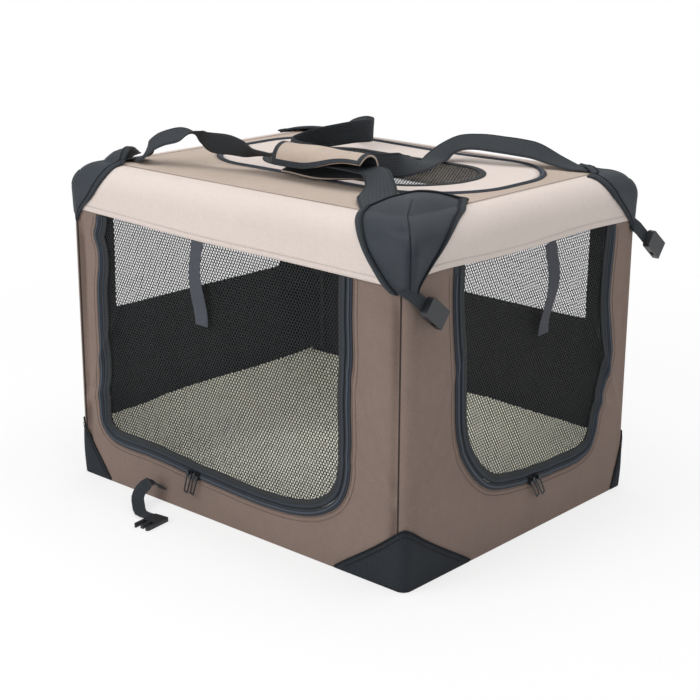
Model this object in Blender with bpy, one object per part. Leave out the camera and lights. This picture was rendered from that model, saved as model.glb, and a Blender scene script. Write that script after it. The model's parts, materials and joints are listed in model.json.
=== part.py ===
"""Soft folding dog crate: a sewn cloth cover over a steel tube frame that folds flat.

Metres, +Z up. The origin is on the floor under the crate's centre. The long front wall faces -Y
and the end wall with the second door faces +X.
"""

import math

import bmesh
import bpy
import numpy as np
from mathutils import Vector

# Overall sizes of the cover
crate_length = 0.700
crate_width = 0.556
roof_height = 0.520
band_drop = 0.074
wall_tuck = 0.026

# Cloth, sheet and clearance
wall_cloth = 0.003
sheet_cloth = 0.002
patch_cloth = 0.0015
net_thickness = 0.0016
touch_gap = 0.0003
play = 0.0005
overrun = 0.004

# Folding frame
tube_radius = 0.008
post_radius = 0.005
hoop_corner_radius = 0.022
post_end = 0.007
fold_clearance = 0.003
ear_thickness = 0.003
ear_reach = 0.008
stud_radius = 0.002
rivet_head_radius = 0.0042
rivet_head = 0.0015
post_setback = 0.038

# Cover band and corner patches
bend_radius = 0.036
band_corner_radius = 0.004
seam_inset = 0.046
upper_patch_drop = 0.014
upper_patch_tip = 0.010
upper_patch_reach = (0.098, 0.145)
upper_patch_roof = 0.0585
upper_patch_bulge = 0.010
lower_patch_height = 0.094
lower_patch_reach = {"front_right": (0.128, 0.145), "front_left": (0.068, 0.100),
                     "back_right": (0.100, 0.030), "back_left": (0.100, 0.100)}

# Floor and mat
floor_thickness = 0.003
mat_crown = 0.036
mat_edge = 0.010
mat_pull_share = 0.020
mat_corner_share = 0.030
mat_side_power = 4
mat_corner_power = 6

# Doors and windows: margins from the left and right ends of the wall, as seen from outside
front_door_size = {"margins": (0.058, 0.108), "bottom": 0.070, "radii": (0.042, 0.075)}
end_door_size = {"margins": (0.106, 0.058), "bottom": 0.090, "radii": (0.085, 0.050)}
back_window_size = {"margins": (0.080, 0.080), "bottom": 0.262, "radii": (0.008, 0.008)}
left_window_size = {"margins": (0.078, 0.078), "bottom": 0.262, "radii": (0.008, 0.008)}
hem_tuck = 0.004
zip_width = 0.010
zip_thickness = 0.0015
door_binding = 0.012
net_bar = 0.008
front_net = (11, 7)
end_net = (8, 7)
back_net = (10, 3)
left_net = (7, 3)
vent_net = (8, 3)

# Roof flap and vent: margins from the crate's faces to the flap and from the flap's edge to the vent
flap_centre = (0.000, 0.060)
flap_margins = (0.082, 0.128)
flap_radius_share = 0.8
vent_centre = (0.005, 0.042)
vent_margins = (0.078, 0.054)
vent_radius_share = 0.9375
vent_gap_inset = 0.0305

# Zip sliders and pull tabs
slider_width = 0.010
slider_height = 0.013
slider_depth = 0.0032
slider_taper_share = 0.25
hook_width = 0.0022
hook_depth = 0.0040
hook_play = 0.0030
hook_bar = 0.0012
hook_post = 0.0015
pull_width = 0.011
pull_length = 0.036
pull_bar = 0.0020
pull_depth = 0.0016
pull_leans = {"front": math.radians(16), "end": math.radians(-30)}
pull_foot_share = 0.70
slider_spacing = 0.014
front_slider_place = -0.074
end_slider_place = 0.020

# Webbing and buckles
handle_webbing = 0.038
handle_thickness = 0.0024
tie_webbing = 0.027
tie_length = 0.138
tie_thickness = 0.0012
front_tie_place = -0.053
end_tie_place = 0.040
grip_length = 0.175
grip_place_shares = (0.1357, -0.4101, 0.5400)
grip_radius = 0.0235
grip_thickness = 0.0035
grip_gap_angle = math.radians(85)
grip_facing = math.radians(-38)
buckle_webbing = 0.020
buckle_webbing_thickness = 0.0018
female_strap_length = 0.026
female_length = 0.044
female_width = 0.029
female_chamfer = 0.0036
female_depth = 0.0110
mouth_width = 0.0200
mouth_depth = 0.0056
mouth_length = 0.0270
side_window = 0.011
male_length = 0.050
male_strap_seat = 0.011
male_turn = math.radians(-90)
male_width = 0.030
male_depth = 0.0056
prong_width = 0.0055
prong_length = 0.022
buckle_tilt = math.radians(38)
rear_root_inset = 0.004

# Handle routes over the roof: shares of half the length, half the width and the rise, and the way the width lies
handle_rise = 0.050
front_handle_shares = [
    ((-0.8229, -0.6691, 0.0340), (0.00, 1.00, 0.00)),
    ((-0.7886, -0.6763, 0.1500), (0.00, 1.00, 0.10)),
    ((-0.7400, -0.7050, 0.4000), (-0.45, 0.70, 0.50)),
    ((-0.7029, -0.6835, 0.6600), (-0.58, 0.65, 0.50)),
    ((-0.6657, -0.6475, 0.8200), (-0.58, 0.65, 0.50)),
    ((-0.6057, -0.6043, 0.9400), (-0.58, 0.65, 0.45)),
    ((-0.5514, -0.5647, 1.0000), (-0.64, 0.71, -0.20)),
    ((-0.5143, -0.5360, 0.8800), (-0.45, 0.50, -0.70)),
    ((-0.4714, -0.5180, 0.7400), (-0.29, 0.33, -0.90)),
    ((-0.3857, -0.4856, 0.7200), (-0.29, 0.33, -0.90)),
    ((-0.3143, -0.4604, 0.6400), (-0.35, 0.50, -0.80)),
    ((-0.2514, -0.4353, 0.5600), (-0.10, 0.90, -0.45)),
    ((-0.1714, -0.4173, 0.5400), (0.00, 0.95, -0.30)),
    ((-0.0571, -0.4101, 0.5400), (0.00, 0.97, -0.20)),
    ((0.1429, -0.4101, 0.5400), (0.00, 1.00, 0.00)),
    ((0.3429, -0.4101, 0.5400), (0.00, 1.00, 0.10)),
    ((0.4143, -0.4137, 0.5300), (0.10, 0.97, 0.25)),
    ((0.4743, -0.4676, 0.4200), (0.40, 0.75, 0.55)),
    ((0.5314, -0.5540, 0.2800), (0.50, 0.76, 0.42)),
    ((0.5886, -0.6367, 0.1050), (0.58, 0.80, 0.10)),
    ((0.6229, -0.6835, 0.0340), (0.60, 0.80, 0.00)),
]
rear_handle_shares = [
    ((-0.7657, 0.7986, 0.0340), (0.10, 1.00, 0.00)),
    ((-0.6743, 0.7842, 0.1400), (0.05, 0.95, 0.20)),
    ((-0.5429, 0.7410, 0.3600), (-0.30, 0.70, 0.60)),
    ((-0.4000, 0.6655, 0.5600), (-0.35, 0.55, 0.75)),
    ((-0.2800, 0.5827, 0.6200), (-0.20, 0.30, 0.93)),
    ((-0.2343, 0.4964, 0.6600), (0.00, 0.10, 1.00)),
    ((-0.2571, 0.3957, 0.6600), (0.10, -0.10, 1.00)),
    ((-0.3086, 0.2878, 0.5800), (0.15, -0.15, 0.98)),
    ((-0.3543, 0.1727, 0.5000), (0.25, -0.20, 0.90)),
    ((-0.3600, 0.0360, 0.4400), (0.40, -0.15, 0.90)),
    ((-0.3086, -0.1079, 0.4300), (0.30, 0.20, 0.92)),
    ((-0.2000, -0.1942, 0.4300), (0.05, 0.30, 0.95)),
    ((-0.0286, -0.2230, 0.4300), (0.00, 0.30, 0.95)),
    ((0.1714, -0.2230, 0.4300), (0.00, 0.30, 0.95)),
    ((0.2857, -0.1942, 0.4300), (0.00, 0.10, 1.00)),
    ((0.3371, -0.0935, 0.4200), (-0.30, -0.05, 0.95)),
    ((0.3286, 0.0144, 0.3600), (-0.65, -0.15, 0.72)),
    ((0.2971, 0.1295, 0.2800), (-0.76, -0.25, 0.55)),
    ((0.2571, 0.2518, 0.1700), (-0.85, -0.30, 0.20)),
    ((0.2171, 0.3741, 0.0800), (-0.95, -0.30, 0.00)),
    ((0.1829, 0.4820, 0.1200), (-0.90, -0.10, 0.20)),
    ((0.1943, 0.5576, 0.3600), (-0.80, 0.40, 0.40)),
    ((0.2429, 0.6043, 0.5600), (-0.60, 0.60, 0.50)),
    ((0.3229, 0.6475, 0.6200), (-0.58, 0.64, 0.50)),
    ((0.4229, 0.6727, 0.6000), (-0.45, 0.70, 0.55)),
    ((0.5171, 0.7014, 0.5600), (-0.30, 0.75, 0.58)),
    ((0.5943, 0.7302, 0.4800), (-0.20, 0.80, 0.50)),
    ((0.6857, 0.7770, 0.2200), (-0.10, 0.95, 0.20)),
    ((0.7657, 0.7986, 0.0440), (0.00, 1.00, 0.00)),
]
# Closure strap: shares of half the length and, out from the wall and up, of its rise
closure_strap_rise = 0.034
closure_strap_shares = [
    ((-0.4286, 0.0560, 0.6471), (1.00, 0.00, 0.00)),
    ((-0.4371, 0.3529, 0.9706), (1.00, 0.15, 0.00)),
    ((-0.4629, 0.6176, 0.9706), (0.85, -0.45, 0.00)),
    ((-0.4800, 0.9118, 0.7059), (0.75, -0.66, 0.00)),
    ((-0.4686, 1.2353, 0.4706), (0.70, -0.75, 0.00)),
    ((-0.4286, 1.5588, 0.2941), (0.50, -0.85, 0.00)),
    ((-0.3771, 1.8824, 0.1471), (0.20, -1.00, 0.00)),
    ((-0.3200, 1.8471, 0.1235), (0.00, -1.00, 0.00)),
]

# Counts
tube_sides = 12
rod_sides = 12
hole_sides = 10
arc_steps = 5
bend_steps = 5
route_steps = 2
mat_stops = 15
wrap_rings = 5
wrap_stops = 15

# What follows is worked out from the values above
half_length = crate_length / 2
half_width = crate_width / 2
hem_height = roof_height - band_drop
wall_height = hem_height + wall_tuck
band_stand = touch_gap + patch_cloth + touch_gap
band_face = band_stand + sheet_cloth
roof_under = roof_height - sheet_cloth
bend_centre_n = band_stand - bend_radius
bend_centre_z = roof_under - bend_radius
bend_seat = (bend_radius - tube_radius - touch_gap) / math.sqrt(2)
base_bar_inset = wall_cloth + touch_gap + tube_radius
base_bar_z = floor_thickness + touch_gap + tube_radius
top_bar_inset = -(bend_centre_n + bend_seat)
top_bar_z = bend_centre_z + bend_seat
pivot_rise = tube_radius + post_end + fold_clearance
base_pivot_z = base_bar_z + pivot_rise
top_pivot_z = top_bar_z - pivot_rise
post_length = (top_pivot_z - base_pivot_z) / 2
knee_z = base_pivot_z + post_length
post_x = half_length - post_setback
outer_post_y = half_width - wall_cloth - touch_gap - rivet_head - touch_gap - post_radius
ear_outer_y = outer_post_y - post_radius - play
ear_inner_y = ear_outer_y - ear_thickness
inner_post_y = ear_inner_y - play - post_radius
door_top = hem_height + hem_tuck
flap_half = (half_length - flap_margins[0], half_width - flap_margins[1])
flap_radius = flap_half[1] * flap_radius_share
vent_half = (flap_half[0] - vent_margins[0], flap_half[1] - vent_margins[1])
vent_radius = vent_half[1] * vent_radius_share
CORNERS = {"front_left": (-1, -1), "front_right": (1, -1), "back_left": (-1, 1), "back_right": (1, 1)}


def between_margins(size, half):
    """The same opening with its left and right edges, each its margin in from the wall's end."""
    left_margin, right_margin = size["margins"]
    return {**size, "left": left_margin - half, "right": half - right_margin}


front_door = between_margins(front_door_size, half_length)
end_door = between_margins(end_door_size, half_width)
back_window = between_margins(back_window_size, half_length)
left_window = between_margins(left_window_size, half_width)


def clear_scene():
    for old in list(bpy.data.objects):
        bpy.data.objects.remove(old, do_unlink=True)


def finish(name, colour, roughness, metallic=0.0):
    """A Principled material in the piece's own colour."""
    made = bpy.data.materials.new(name)
    made.use_nodes = True
    shader = made.node_tree.nodes["Principled BSDF"]
    shader.inputs["Base Color"].default_value = (*colour, 1.0)
    shader.inputs["Roughness"].default_value = roughness
    shader.inputs["Metallic"].default_value = metallic
    return made


def pivot(name, place, parent=None):
    """An empty on a joint's axis, which carries the pieces of one moving body."""
    empty = bpy.data.objects.new(name, None)
    bpy.context.scene.collection.objects.link(empty)
    empty["world"] = tuple(place)
    empty.parent = parent
    empty.location = Vector(place) - Vector(parent["world"] if parent else (0, 0, 0))
    return empty


def piece(name, points, faces, finish_of, carrier=None, at=None, smooth=True):
    """A closed mesh from world points, with its origin on the carrier's axis or at the place given."""
    home = Vector(carrier["world"]) if carrier else Vector((0, 0, 0))
    origin = Vector(at) if at is not None else home
    mesh = bpy.data.meshes.new(name)
    mesh.from_pydata([Vector(p) - origin for p in points], [], [list(map(int, f)) for f in faces])
    shell = bmesh.new()
    shell.from_mesh(mesh)
    bmesh.ops.recalc_face_normals(shell, faces=shell.faces)
    shell.to_mesh(mesh)
    shell.free()
    if finish_of:
        mesh.materials.append(finish_of)
    if smooth:
        mesh.shade_smooth()
        mesh.set_sharp_from_angle(angle=math.radians(40))
    made = bpy.data.objects.new(name, mesh)
    bpy.context.scene.collection.objects.link(made)
    made.parent = carrier
    made.location = origin - home
    return made


def helper(name, points, faces, carrier=None, at=None):
    """A cutter, or a shape that is joined to another, which isn't a piece by itself."""
    made = piece(name, points, faces, None, carrier, at, smooth=False)
    made.hide_render = True
    made.display_type = "WIRE"
    return made


def combine(target, tool, operation):
    change = target.modifiers.new(tool.name, "BOOLEAN")
    change.object = tool
    change.operation = operation
    change.solver = "EXACT"


def sheet_solid(front, back, ring=False):
    """Points and faces of a solid between two grids of points; a ring closes its second direction."""
    rows, columns = front.shape[:2]
    points = np.concatenate([front.reshape(-1, 3), back.reshape(-1, 3)])
    count = rows * columns
    faces = []
    for i in range(rows - 1):
        for j in range(columns if ring else columns - 1):
            k = (j + 1) % columns
            a, b, c, d = i * columns + j, i * columns + k, (i + 1) * columns + k, (i + 1) * columns + j
            faces.append((a, b, c, d))
            faces.append((a + count, d + count, c + count, b + count))
    for j in range(columns if ring else columns - 1):
        k = (j + 1) % columns
        faces.append((j, j + count, k + count, k))
        last = (rows - 1) * columns
        faces.append((last + j, last + k, last + k + count, last + j + count))
    if not ring:
        for i in range(rows - 1):
            a, b = i * columns, (i + 1) * columns
            faces.append((a, b, b + count, a + count))
            a, b = a + columns - 1, b + columns - 1
            faces.append((a, a + count, b + count, b))
    return points, faces


def prism(outline, shift):
    """Points and faces of a flat outline carried along a vector."""
    base = np.array(outline, float)
    count = len(base)
    points = np.concatenate([base, base + np.array(shift, float)])
    faces = [tuple(range(count)), tuple(range(2 * count - 1, count - 1, -1))]
    faces += [(i, (i + 1) % count, (i + 1) % count + count, i + count) for i in range(count)]
    return points, faces


def rod(start, end, radius, sides):
    """Points and faces of a round bar between two points."""
    start, end = Vector(start), Vector(end)
    along = (end - start).normalized()
    across = along.orthogonal().normalized()
    other = along.cross(across)
    turns = [2 * math.pi * k / sides for k in range(sides)]
    ring = [start + radius * (math.cos(t) * across + math.sin(t) * other) for t in turns]
    return prism(ring, end - start)


def block(low, high):
    (x0, y0, z0), (x1, y1, z1) = low, high
    return prism([(x0, y0, z0), (x1, y0, z0), (x1, y1, z0), (x0, y1, z0)], (0, 0, z1 - z0))


def blocks(boxes):
    """Points and faces of several separate boxes in one cutter."""
    points, faces = [], []
    for low, high in boxes:
        more, sides = block(low, high)
        faces += [tuple(i + len(points) for i in side) for side in sides]
        points += [tuple(p) for p in more]
    return points, faces


def rounded_rectangle(half_x, half_y, radius, steps=arc_steps):
    """Corner arcs of a rounded rectangle, anticlockwise from its right front corner."""
    radius = max(radius, touch_gap)
    found = []
    for k, (sx, sy) in enumerate([(1, -1), (1, 1), (-1, 1), (-1, -1)]):
        centre = (sx * (half_x - radius), sy * (half_y - radius))
        for turn in np.linspace(0, math.pi / 2, steps):
            angle = (k - 1) * math.pi / 2 + turn
            found.append((centre[0] + radius * math.cos(angle), centre[1] + radius * math.sin(angle)))
    return np.array(found)


def tube_hoop(half_x, half_y, radius, z):
    """Points and faces of a round tube bent into a rounded rectangle."""
    path = rounded_rectangle(half_x, half_y, radius)
    inner = rounded_rectangle(half_x - tube_radius, half_y - tube_radius, radius - tube_radius)
    outward = (path - inner) / tube_radius
    turns = np.linspace(0, 2 * math.pi, tube_sides, endpoint=False)
    points = [(*(p + tube_radius * math.cos(t) * n), z + tube_radius * math.sin(t))
              for p, n in zip(path, outward) for t in turns]
    count = len(path)
    faces = []
    for i in range(count):
        for j in range(tube_sides):
            k, m = (i + 1) % count, (j + 1) % tube_sides
            faces.append((i * tube_sides + j, k * tube_sides + j, k * tube_sides + m, i * tube_sides + m))
    return points, faces


class Wall:
    """A side of the crate: u runs left to right seen from outside, n points out, z up."""

    def __init__(self, name, along, outward, half):
        self.name = name
        self.along = np.array(along, float)
        self.outward = np.array(outward, float)
        self.half = half
        self.face = half_width if outward[1] else half_length

    def point(self, u, z, n=0.0):
        place = u * self.along + (self.face + n) * self.outward
        return (place[0], place[1], z)

    def slab(self, outline, low, high):
        """Points and faces of an outline in u and z, from one distance outside the wall to another."""
        return prism([self.point(u, z, low) for u, z in outline], (high - low) * self.outward)


end_half = half_width - wall_cloth - touch_gap
FRONT = Wall("front", (1, 0, 0), (0, -1, 0), half_length)
BACK = Wall("back", (-1, 0, 0), (0, 1, 0), half_length)
RIGHT = Wall("right", (0, 1, 0), (1, 0, 0), end_half)
LEFT = Wall("left", (0, -1, 0), (-1, 0, 0), end_half)


def opening_outline(door, inset=0.0):
    """Down the left side, round both lower corners and up the right side, in u and z."""
    left, right = door["left"] + inset, door["right"] - inset
    bottom = door["bottom"] + inset
    first, second = (max(radius - inset, touch_gap) for radius in door["radii"])
    found = [(left, door_top)]
    for turn in np.linspace(math.pi, 1.5 * math.pi, arc_steps + 2):
        found.append((left + first + first * math.cos(turn), bottom + first + first * math.sin(turn)))
    for turn in np.linspace(1.5 * math.pi, 2 * math.pi, arc_steps + 2):
        found.append((right - second + second * math.cos(turn), bottom + second + second * math.sin(turn)))
    found.append((right, door_top))
    return found


def wall_piece(wall, door, finish_of):
    """A cloth wall with its door or window opening cut out."""
    sheet = [(-wall.half, 0.0), (wall.half, 0.0), (wall.half, wall_height), (-wall.half, wall_height)]
    made = piece(f"{wall.name}_wall", *wall.slab(sheet, -wall_cloth, 0.0), finish_of, smooth=False)
    hole = wall.slab(opening_outline(door), -wall_cloth - overrun, overrun)
    combine(made, helper(f"{wall.name}_wall_hole", *hole), "DIFFERENCE")
    return made


def border(wall, outer, inner, low, high):
    """Points and faces of the strip between two outlines, from one distance outside the wall to another."""
    front = np.array([[wall.point(u, z, high) for u, z in line] for line in (outer, inner)])
    back = np.array([[wall.point(u, z, low) for u, z in line] for line in (outer, inner)])
    return sheet_solid(front, back)


def net_holes(low_u, high_u, low_z, high_z, counts):
    """Centres and half sizes of the gaps in a coarse net."""
    step_u, step_z = (high_u - low_u) / counts[0], (high_z - low_z) / counts[1]
    for i in range(counts[0]):
        for j in range(counts[1]):
            yield (low_u + (i + 0.5) * step_u, low_z + (j + 0.5) * step_z,
                   (step_u - net_bar) / 2, (step_z - net_bar) / 2)


def in_corner(door, u, z, inset):
    """Whether a gap's outer corner falls in the rounded lower corner of the opening."""
    for side, radius in ((door["left"], door["radii"][0]), (door["right"], door["radii"][1])):
        toward = 1 if side == door["left"] else -1
        past_u = toward * (side + toward * radius - u)
        past_z = door["bottom"] + radius - z
        if past_u > 0 and past_z > 0 and math.hypot(past_u, past_z) > radius - inset:
            return True
    return False


def wall_net(name, wall, door, inset, counts, finish_of, carrier=None):
    """A flat net in the opening, with a coarse pattern of gaps clear of its edge."""
    outline = opening_outline(door, inset)
    middle = -wall_cloth / 2
    made = piece(name, *wall.slab(outline, middle - net_thickness / 2, middle + net_thickness / 2),
                 finish_of, carrier, smooth=False)
    edge = inset + net_bar
    gaps = []
    for u, z, half_u, half_z in net_holes(door["left"] + edge, door["right"] - edge,
                                          door["bottom"] + edge, door_top - net_bar, counts):
        corners = [(u + su * half_u, z - half_z) for su in (-1, 1)]
        if not any(in_corner(door, cu, cz, edge) for cu, cz in corners):
            ends = [wall.point(u - half_u, z - half_z, -wall_cloth - overrun),
                    wall.point(u + half_u, z + half_z, overrun)]
            gaps.append((np.min(ends, axis=0), np.max(ends, axis=0)))
    combine(made, helper(f"{name}_gaps", *blocks(gaps), carrier), "DIFFERENCE")
    return made


def cover_profile(t, lift):
    """Inset n and height z at length t up the cover from the hem, lifted off the band's inner side."""
    run = bend_centre_z - hem_height
    bend = bend_radius * math.pi / 2
    if t <= run:
        return band_stand + lift, hem_height + t
    if t <= run + bend:
        angle = (t - run) / bend_radius
        reach = bend_radius + lift
        return bend_centre_n + reach * math.cos(angle), bend_centre_z + reach * math.sin(angle)
    return bend_centre_n - (t - run - bend), roof_under + lift


def seam_length():
    """Length up the cover from the hem to the seam between band and roof."""
    run = bend_centre_z - hem_height
    return run + bend_radius * math.pi / 2 + seam_inset + bend_centre_n


def band_stops():
    """Lengths up the cover at which the band bends, from the hem to the roof seam."""
    run = bend_centre_z - hem_height
    bend = bend_radius * math.pi / 2
    return [0.0, run] + [run + bend * k / bend_steps for k in range(1, bend_steps + 1)] + [seam_length()]


def cover_band(finish_of, carrier):
    """The pale band: a ring of sheet that rises from the hem and bends over the top hoop."""

    def face(lift):
        rows = []
        for t in band_stops():
            n, z = cover_profile(t, lift)
            ring = rounded_rectangle(half_length + n, half_width + n, band_corner_radius + n)
            rows.append([(x, y, z) for x, y in ring])
        return np.array(rows)

    return piece("cover_band", *sheet_solid(face(sheet_cloth), face(0.0), ring=True), finish_of, carrier)


def patch_reach(n, z):
    """How far a corner patch reaches along the side wall and the end wall, at a place on the cover."""
    side, end = upper_patch_reach
    tip_z = hem_height - upper_patch_drop
    if n > bend_centre_n:
        share = min((z - tip_z) / (roof_under - tip_z), 1.0)
        return [upper_patch_tip + (reach - upper_patch_tip) * share for reach in (side, end)]
    share = (upper_patch_roof + n) / (upper_patch_roof + bend_centre_n)
    widest = (side * (1 + bend_centre_n / end) + bend_centre_n, end * (1 + bend_centre_n / side) + bend_centre_n)
    bulge = upper_patch_bulge * math.sqrt(max(share, 0.0))
    return [max(reach * share + bulge, upper_patch_tip) for reach in widest]


def upper_patch(name, corner, finish_of, carrier):
    """A dark shield over the top corner: tip below the hem, widest at the roof's edge, cut across on the roof."""
    roof_end = seam_length() + upper_patch_roof - seam_inset
    stops = [-upper_patch_drop, *band_stops(), roof_end]

    def face(lift):
        rows = []
        for t in stops:
            n, z = cover_profile(t, lift)
            level_n, level_z = cover_profile(t, 0.0)
            side, end = patch_reach(level_n, level_z)
            half_x, half_y = half_length + n, half_width + n
            arc = rounded_rectangle(half_x, half_y, band_corner_radius + n)[arc_steps:2 * arc_steps]
            row = [(half_x, half_y - end), *arc, (half_x - side, half_y)]
            rows.append([(corner[0] * x, corner[1] * y, z) for x, y in row])
        return np.array(rows)

    under = sheet_cloth + touch_gap
    return piece(name, *sheet_solid(face(under + patch_cloth), face(under)), finish_of, carrier)


def lower_patch(name, corner, reach, finish_of, carrier):
    """A dark triangle folded round a bottom corner, outside the wall."""
    sx, sy = corner
    rim = touch_gap

    def face(lift):
        x, y = half_length + lift, half_width + lift
        edge = [(sx * x, sy * y, rim), (sx * x, sy * y, lower_patch_height)]
        front = (sx * (half_length - reach[0]), sy * y, rim)
        end = (sx * x, sy * (half_width - reach[1]), rim)
        return [*edge, front, end]

    points = face(touch_gap + patch_cloth) + face(touch_gap)
    faces = [(0, 1, 2), (0, 3, 1), (4, 6, 5), (4, 5, 7), (2, 1, 5, 6), (1, 3, 7, 5), (0, 2, 6, 4), (3, 0, 4, 7)]
    return piece(name, points, faces, finish_of, carrier, smooth=False)


def ear(corner, bar_z, toward, side, name):
    """A plate standing on a hoop's bar, and the stud that a post turns on."""
    sx, sy = corner
    pivot_z = bar_z + toward * pivot_rise
    outline = [(sx * post_x - ear_reach, sy * ear_inner_y, bar_z), (sx * post_x + ear_reach, sy * ear_inner_y, bar_z)]
    for turn in np.linspace(0, math.pi, arc_steps + 2):
        outline.append((sx * post_x + ear_reach * math.cos(turn), sy * ear_inner_y,
                        pivot_z + toward * ear_reach * math.sin(turn)))
    plate = helper(f"{name}_plate", *prism(outline, (0, sy * ear_thickness, 0)))
    middle = (ear_inner_y + ear_outer_y) / 2
    post_y = outer_post_y if side > 0 else inner_post_y
    beyond = post_y + side * (post_radius + touch_gap + rivet_head)
    shaft = helper(f"{name}_shaft", *rod((sx * post_x, sy * middle, pivot_z),
                                         (sx * post_x, sy * beyond, pivot_z), stud_radius, hole_sides))
    head = helper(f"{name}_head", *rod((sx * post_x, sy * (beyond - side * rivet_head), pivot_z),
                                       (sx * post_x, sy * beyond, pivot_z), rivet_head_radius, rod_sides))
    return plate, shaft, head


def hoop(name, inset, z, toward, side, finish_of, carrier):
    """A tube bent to a rectangle, with an ear and a stud at each post."""
    made = piece(name, *tube_hoop(half_length - inset, half_width - inset, hoop_corner_radius, z),
                 finish_of, carrier)
    for label, corner in CORNERS.items():
        for part in ear(corner, z, toward, side, f"{name}_{label}"):
            combine(made, part, "UNION")
    return made


def post(name, corner, y, low_z, high_z, finish_of, carrier):
    """A corner tube, drilled near each end for its stud and the knee rivet."""
    sx, sy = corner
    x = sx * post_x
    made = piece(name, *rod((x, sy * y, low_z - post_end), (x, sy * y, high_z + post_end), post_radius, rod_sides),
                 finish_of, carrier)
    reach = post_radius + overrun
    for end, z in (("low", low_z), ("high", high_z)):
        hole = rod((x, sy * (y - reach), z), (x, sy * (y + reach), z), stud_radius + touch_gap, hole_sides)
        combine(made, helper(f"{name}_{end}_hole", *hole, carrier), "DIFFERENCE")
    return made


def knee_rivet(name, corner, finish_of, carrier):
    """The rivet through both posts, with a head on each side and a washer between them."""
    sx, sy = corner
    x = sx * post_x
    outside = outer_post_y + post_radius + touch_gap + rivet_head
    inside = inner_post_y - post_radius - touch_gap - rivet_head
    made = piece(name, *rod((x, sy * inside, knee_z), (x, sy * outside, knee_z), stud_radius, hole_sides),
                 finish_of, carrier)
    washer = (inner_post_y + post_radius + touch_gap, outer_post_y - post_radius - touch_gap)
    for label, (first, last) in {"outer": (outside - rivet_head, outside), "inner": (inside, inside + rivet_head),
                                 "washer": washer}.items():
        part = rod((x, sy * first, knee_z), (x, sy * last, knee_z), rivet_head_radius, rod_sides)
        combine(made, helper(f"{name}_{label}", *part, carrier), "UNION")
    return made


def floor_mat(finish_of):
    """The fleece cushion: crowned, with its sides drawn in between the corners."""
    half_x = half_length - wall_cloth - touch_gap - 2 * tube_radius - fold_clearance
    half_y = half_width - wall_cloth - touch_gap - 2 * tube_radius - fold_clearance
    low = floor_thickness + touch_gap
    shares = np.sin(np.linspace(-1, 1, mat_stops) * math.pi / 2)
    u, v = np.meshgrid(shares, shares, indexing="ij")
    rounding = 1 - mat_corner_share * (u * v) ** mat_corner_power
    x = half_x * u * (1 - mat_pull_share * (1 - v * v)) * rounding
    y = half_y * v * (1 - mat_pull_share * (1 - u * u)) * rounding
    crown = mat_edge + (mat_crown - mat_edge) * np.sqrt((1 - u**mat_side_power) * (1 - v**mat_side_power))
    top = np.stack([x, y, low + crown], axis=-1)
    bottom = np.stack([x, y, np.full_like(x, low)], axis=-1)
    return piece("fleece_mat", *sheet_solid(top, bottom), finish_of)


def flat_ring(name, outer, inner, low, high, finish_of, carrier):
    """A flat ring between two outlines with as many points."""
    def face(z):
        return np.array([[(x, y, z) for x, y in line] for line in (outer, inner)])
    return piece(name, *sheet_solid(face(high), face(low), ring=True), finish_of, carrier, smooth=False)


def oval(centre, half, radius, grow=0.0):
    return rounded_rectangle(half[0] + grow, half[1] + grow, radius + grow, 2 * arc_steps) + np.array(centre)


def vent(finish_of, carrier):
    """The mesh vent in the roof flap, a flat net with a coarse pattern of gaps."""
    low = roof_height - (sheet_cloth + net_thickness) / 2
    outline = [(x, y, low) for x, y in oval(vent_centre, vent_half, vent_radius, -touch_gap)]
    made = piece("roof_vent_net", *prism(outline, (0, 0, net_thickness)), finish_of, carrier, smooth=False)
    reach_x, reach_y = vent_half[0] - vent_gap_inset, vent_half[1] - net_bar
    gaps = []
    for x, y, half_x, half_y in net_holes(-reach_x, reach_x, -reach_y, reach_y, vent_net):
        past_x = abs(x) + half_x - (vent_half[0] - vent_radius)
        past_y = abs(y) + half_y - (vent_half[1] - vent_radius)
        if math.hypot(max(past_x, 0), max(past_y, 0)) < vent_radius - net_bar:
            cx, cy = vent_centre[0] + x, vent_centre[1] + y
            gaps.append(((cx - half_x, cy - half_y, low - overrun), (cx + half_x, cy + half_y, low + overrun)))
    combine(made, helper("roof_vent_gaps", *blocks(gaps), carrier), "DIFFERENCE")
    return made


def smooth_route(route, steps=route_steps):
    """Points and width directions along a smooth curve through a route's own points."""
    places = np.array([p for p, _ in route], float)
    sides = np.array([s for _, s in route], float)

    def curve(values):
        ends = np.concatenate([[2 * values[0] - values[1]], values, [2 * values[-1] - values[-2]]])
        found = []
        for i in range(1, len(ends) - 2):
            a, b, c, d = ends[i - 1], ends[i], ends[i + 1], ends[i + 2]
            for k in range(steps):
                t = k / steps
                found.append(0.5 * (2 * b + (c - a) * t + (2 * a - 5 * b + 4 * c - d) * t**2
                                    + (3 * b - 3 * c + d - a) * t**3))
        found.append(values[-1])
        return np.array(found)

    return curve(places), curve(sides)


def webbing(name, centres, sides, width, thickness, finish_of, carrier, at=None):
    """A flat strap along a curve, its width held square to the curve."""
    along = np.gradient(centres, axis=0)
    along /= np.linalg.norm(along, axis=1, keepdims=True)
    sides = sides - (sides * along).sum(axis=1, keepdims=True) * along
    sides /= np.linalg.norm(sides, axis=1, keepdims=True)
    normal = np.cross(along, sides)
    across = np.array([-0.5, 0.5])[:, None, None] * width * sides
    front = centres + across + normal * thickness / 2
    back = centres + across - normal * thickness / 2
    return piece(name, *sheet_solid(front, back), finish_of, carrier, at)


def over_roof(shares):
    """The place on or above the roof that a route's three shares name."""
    x, y, rise = shares
    return x * half_length, y * half_width, roof_height + touch_gap + rise * handle_rise


def handle(name, route, finish_of, carrier):
    """A carry handle of webbing, from a corner patch over the roof to the next."""
    centres, sides = smooth_route([(over_roof(place), side) for place, side in route])
    return webbing(name, centres, sides, handle_webbing, handle_thickness, finish_of, carrier)


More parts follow.
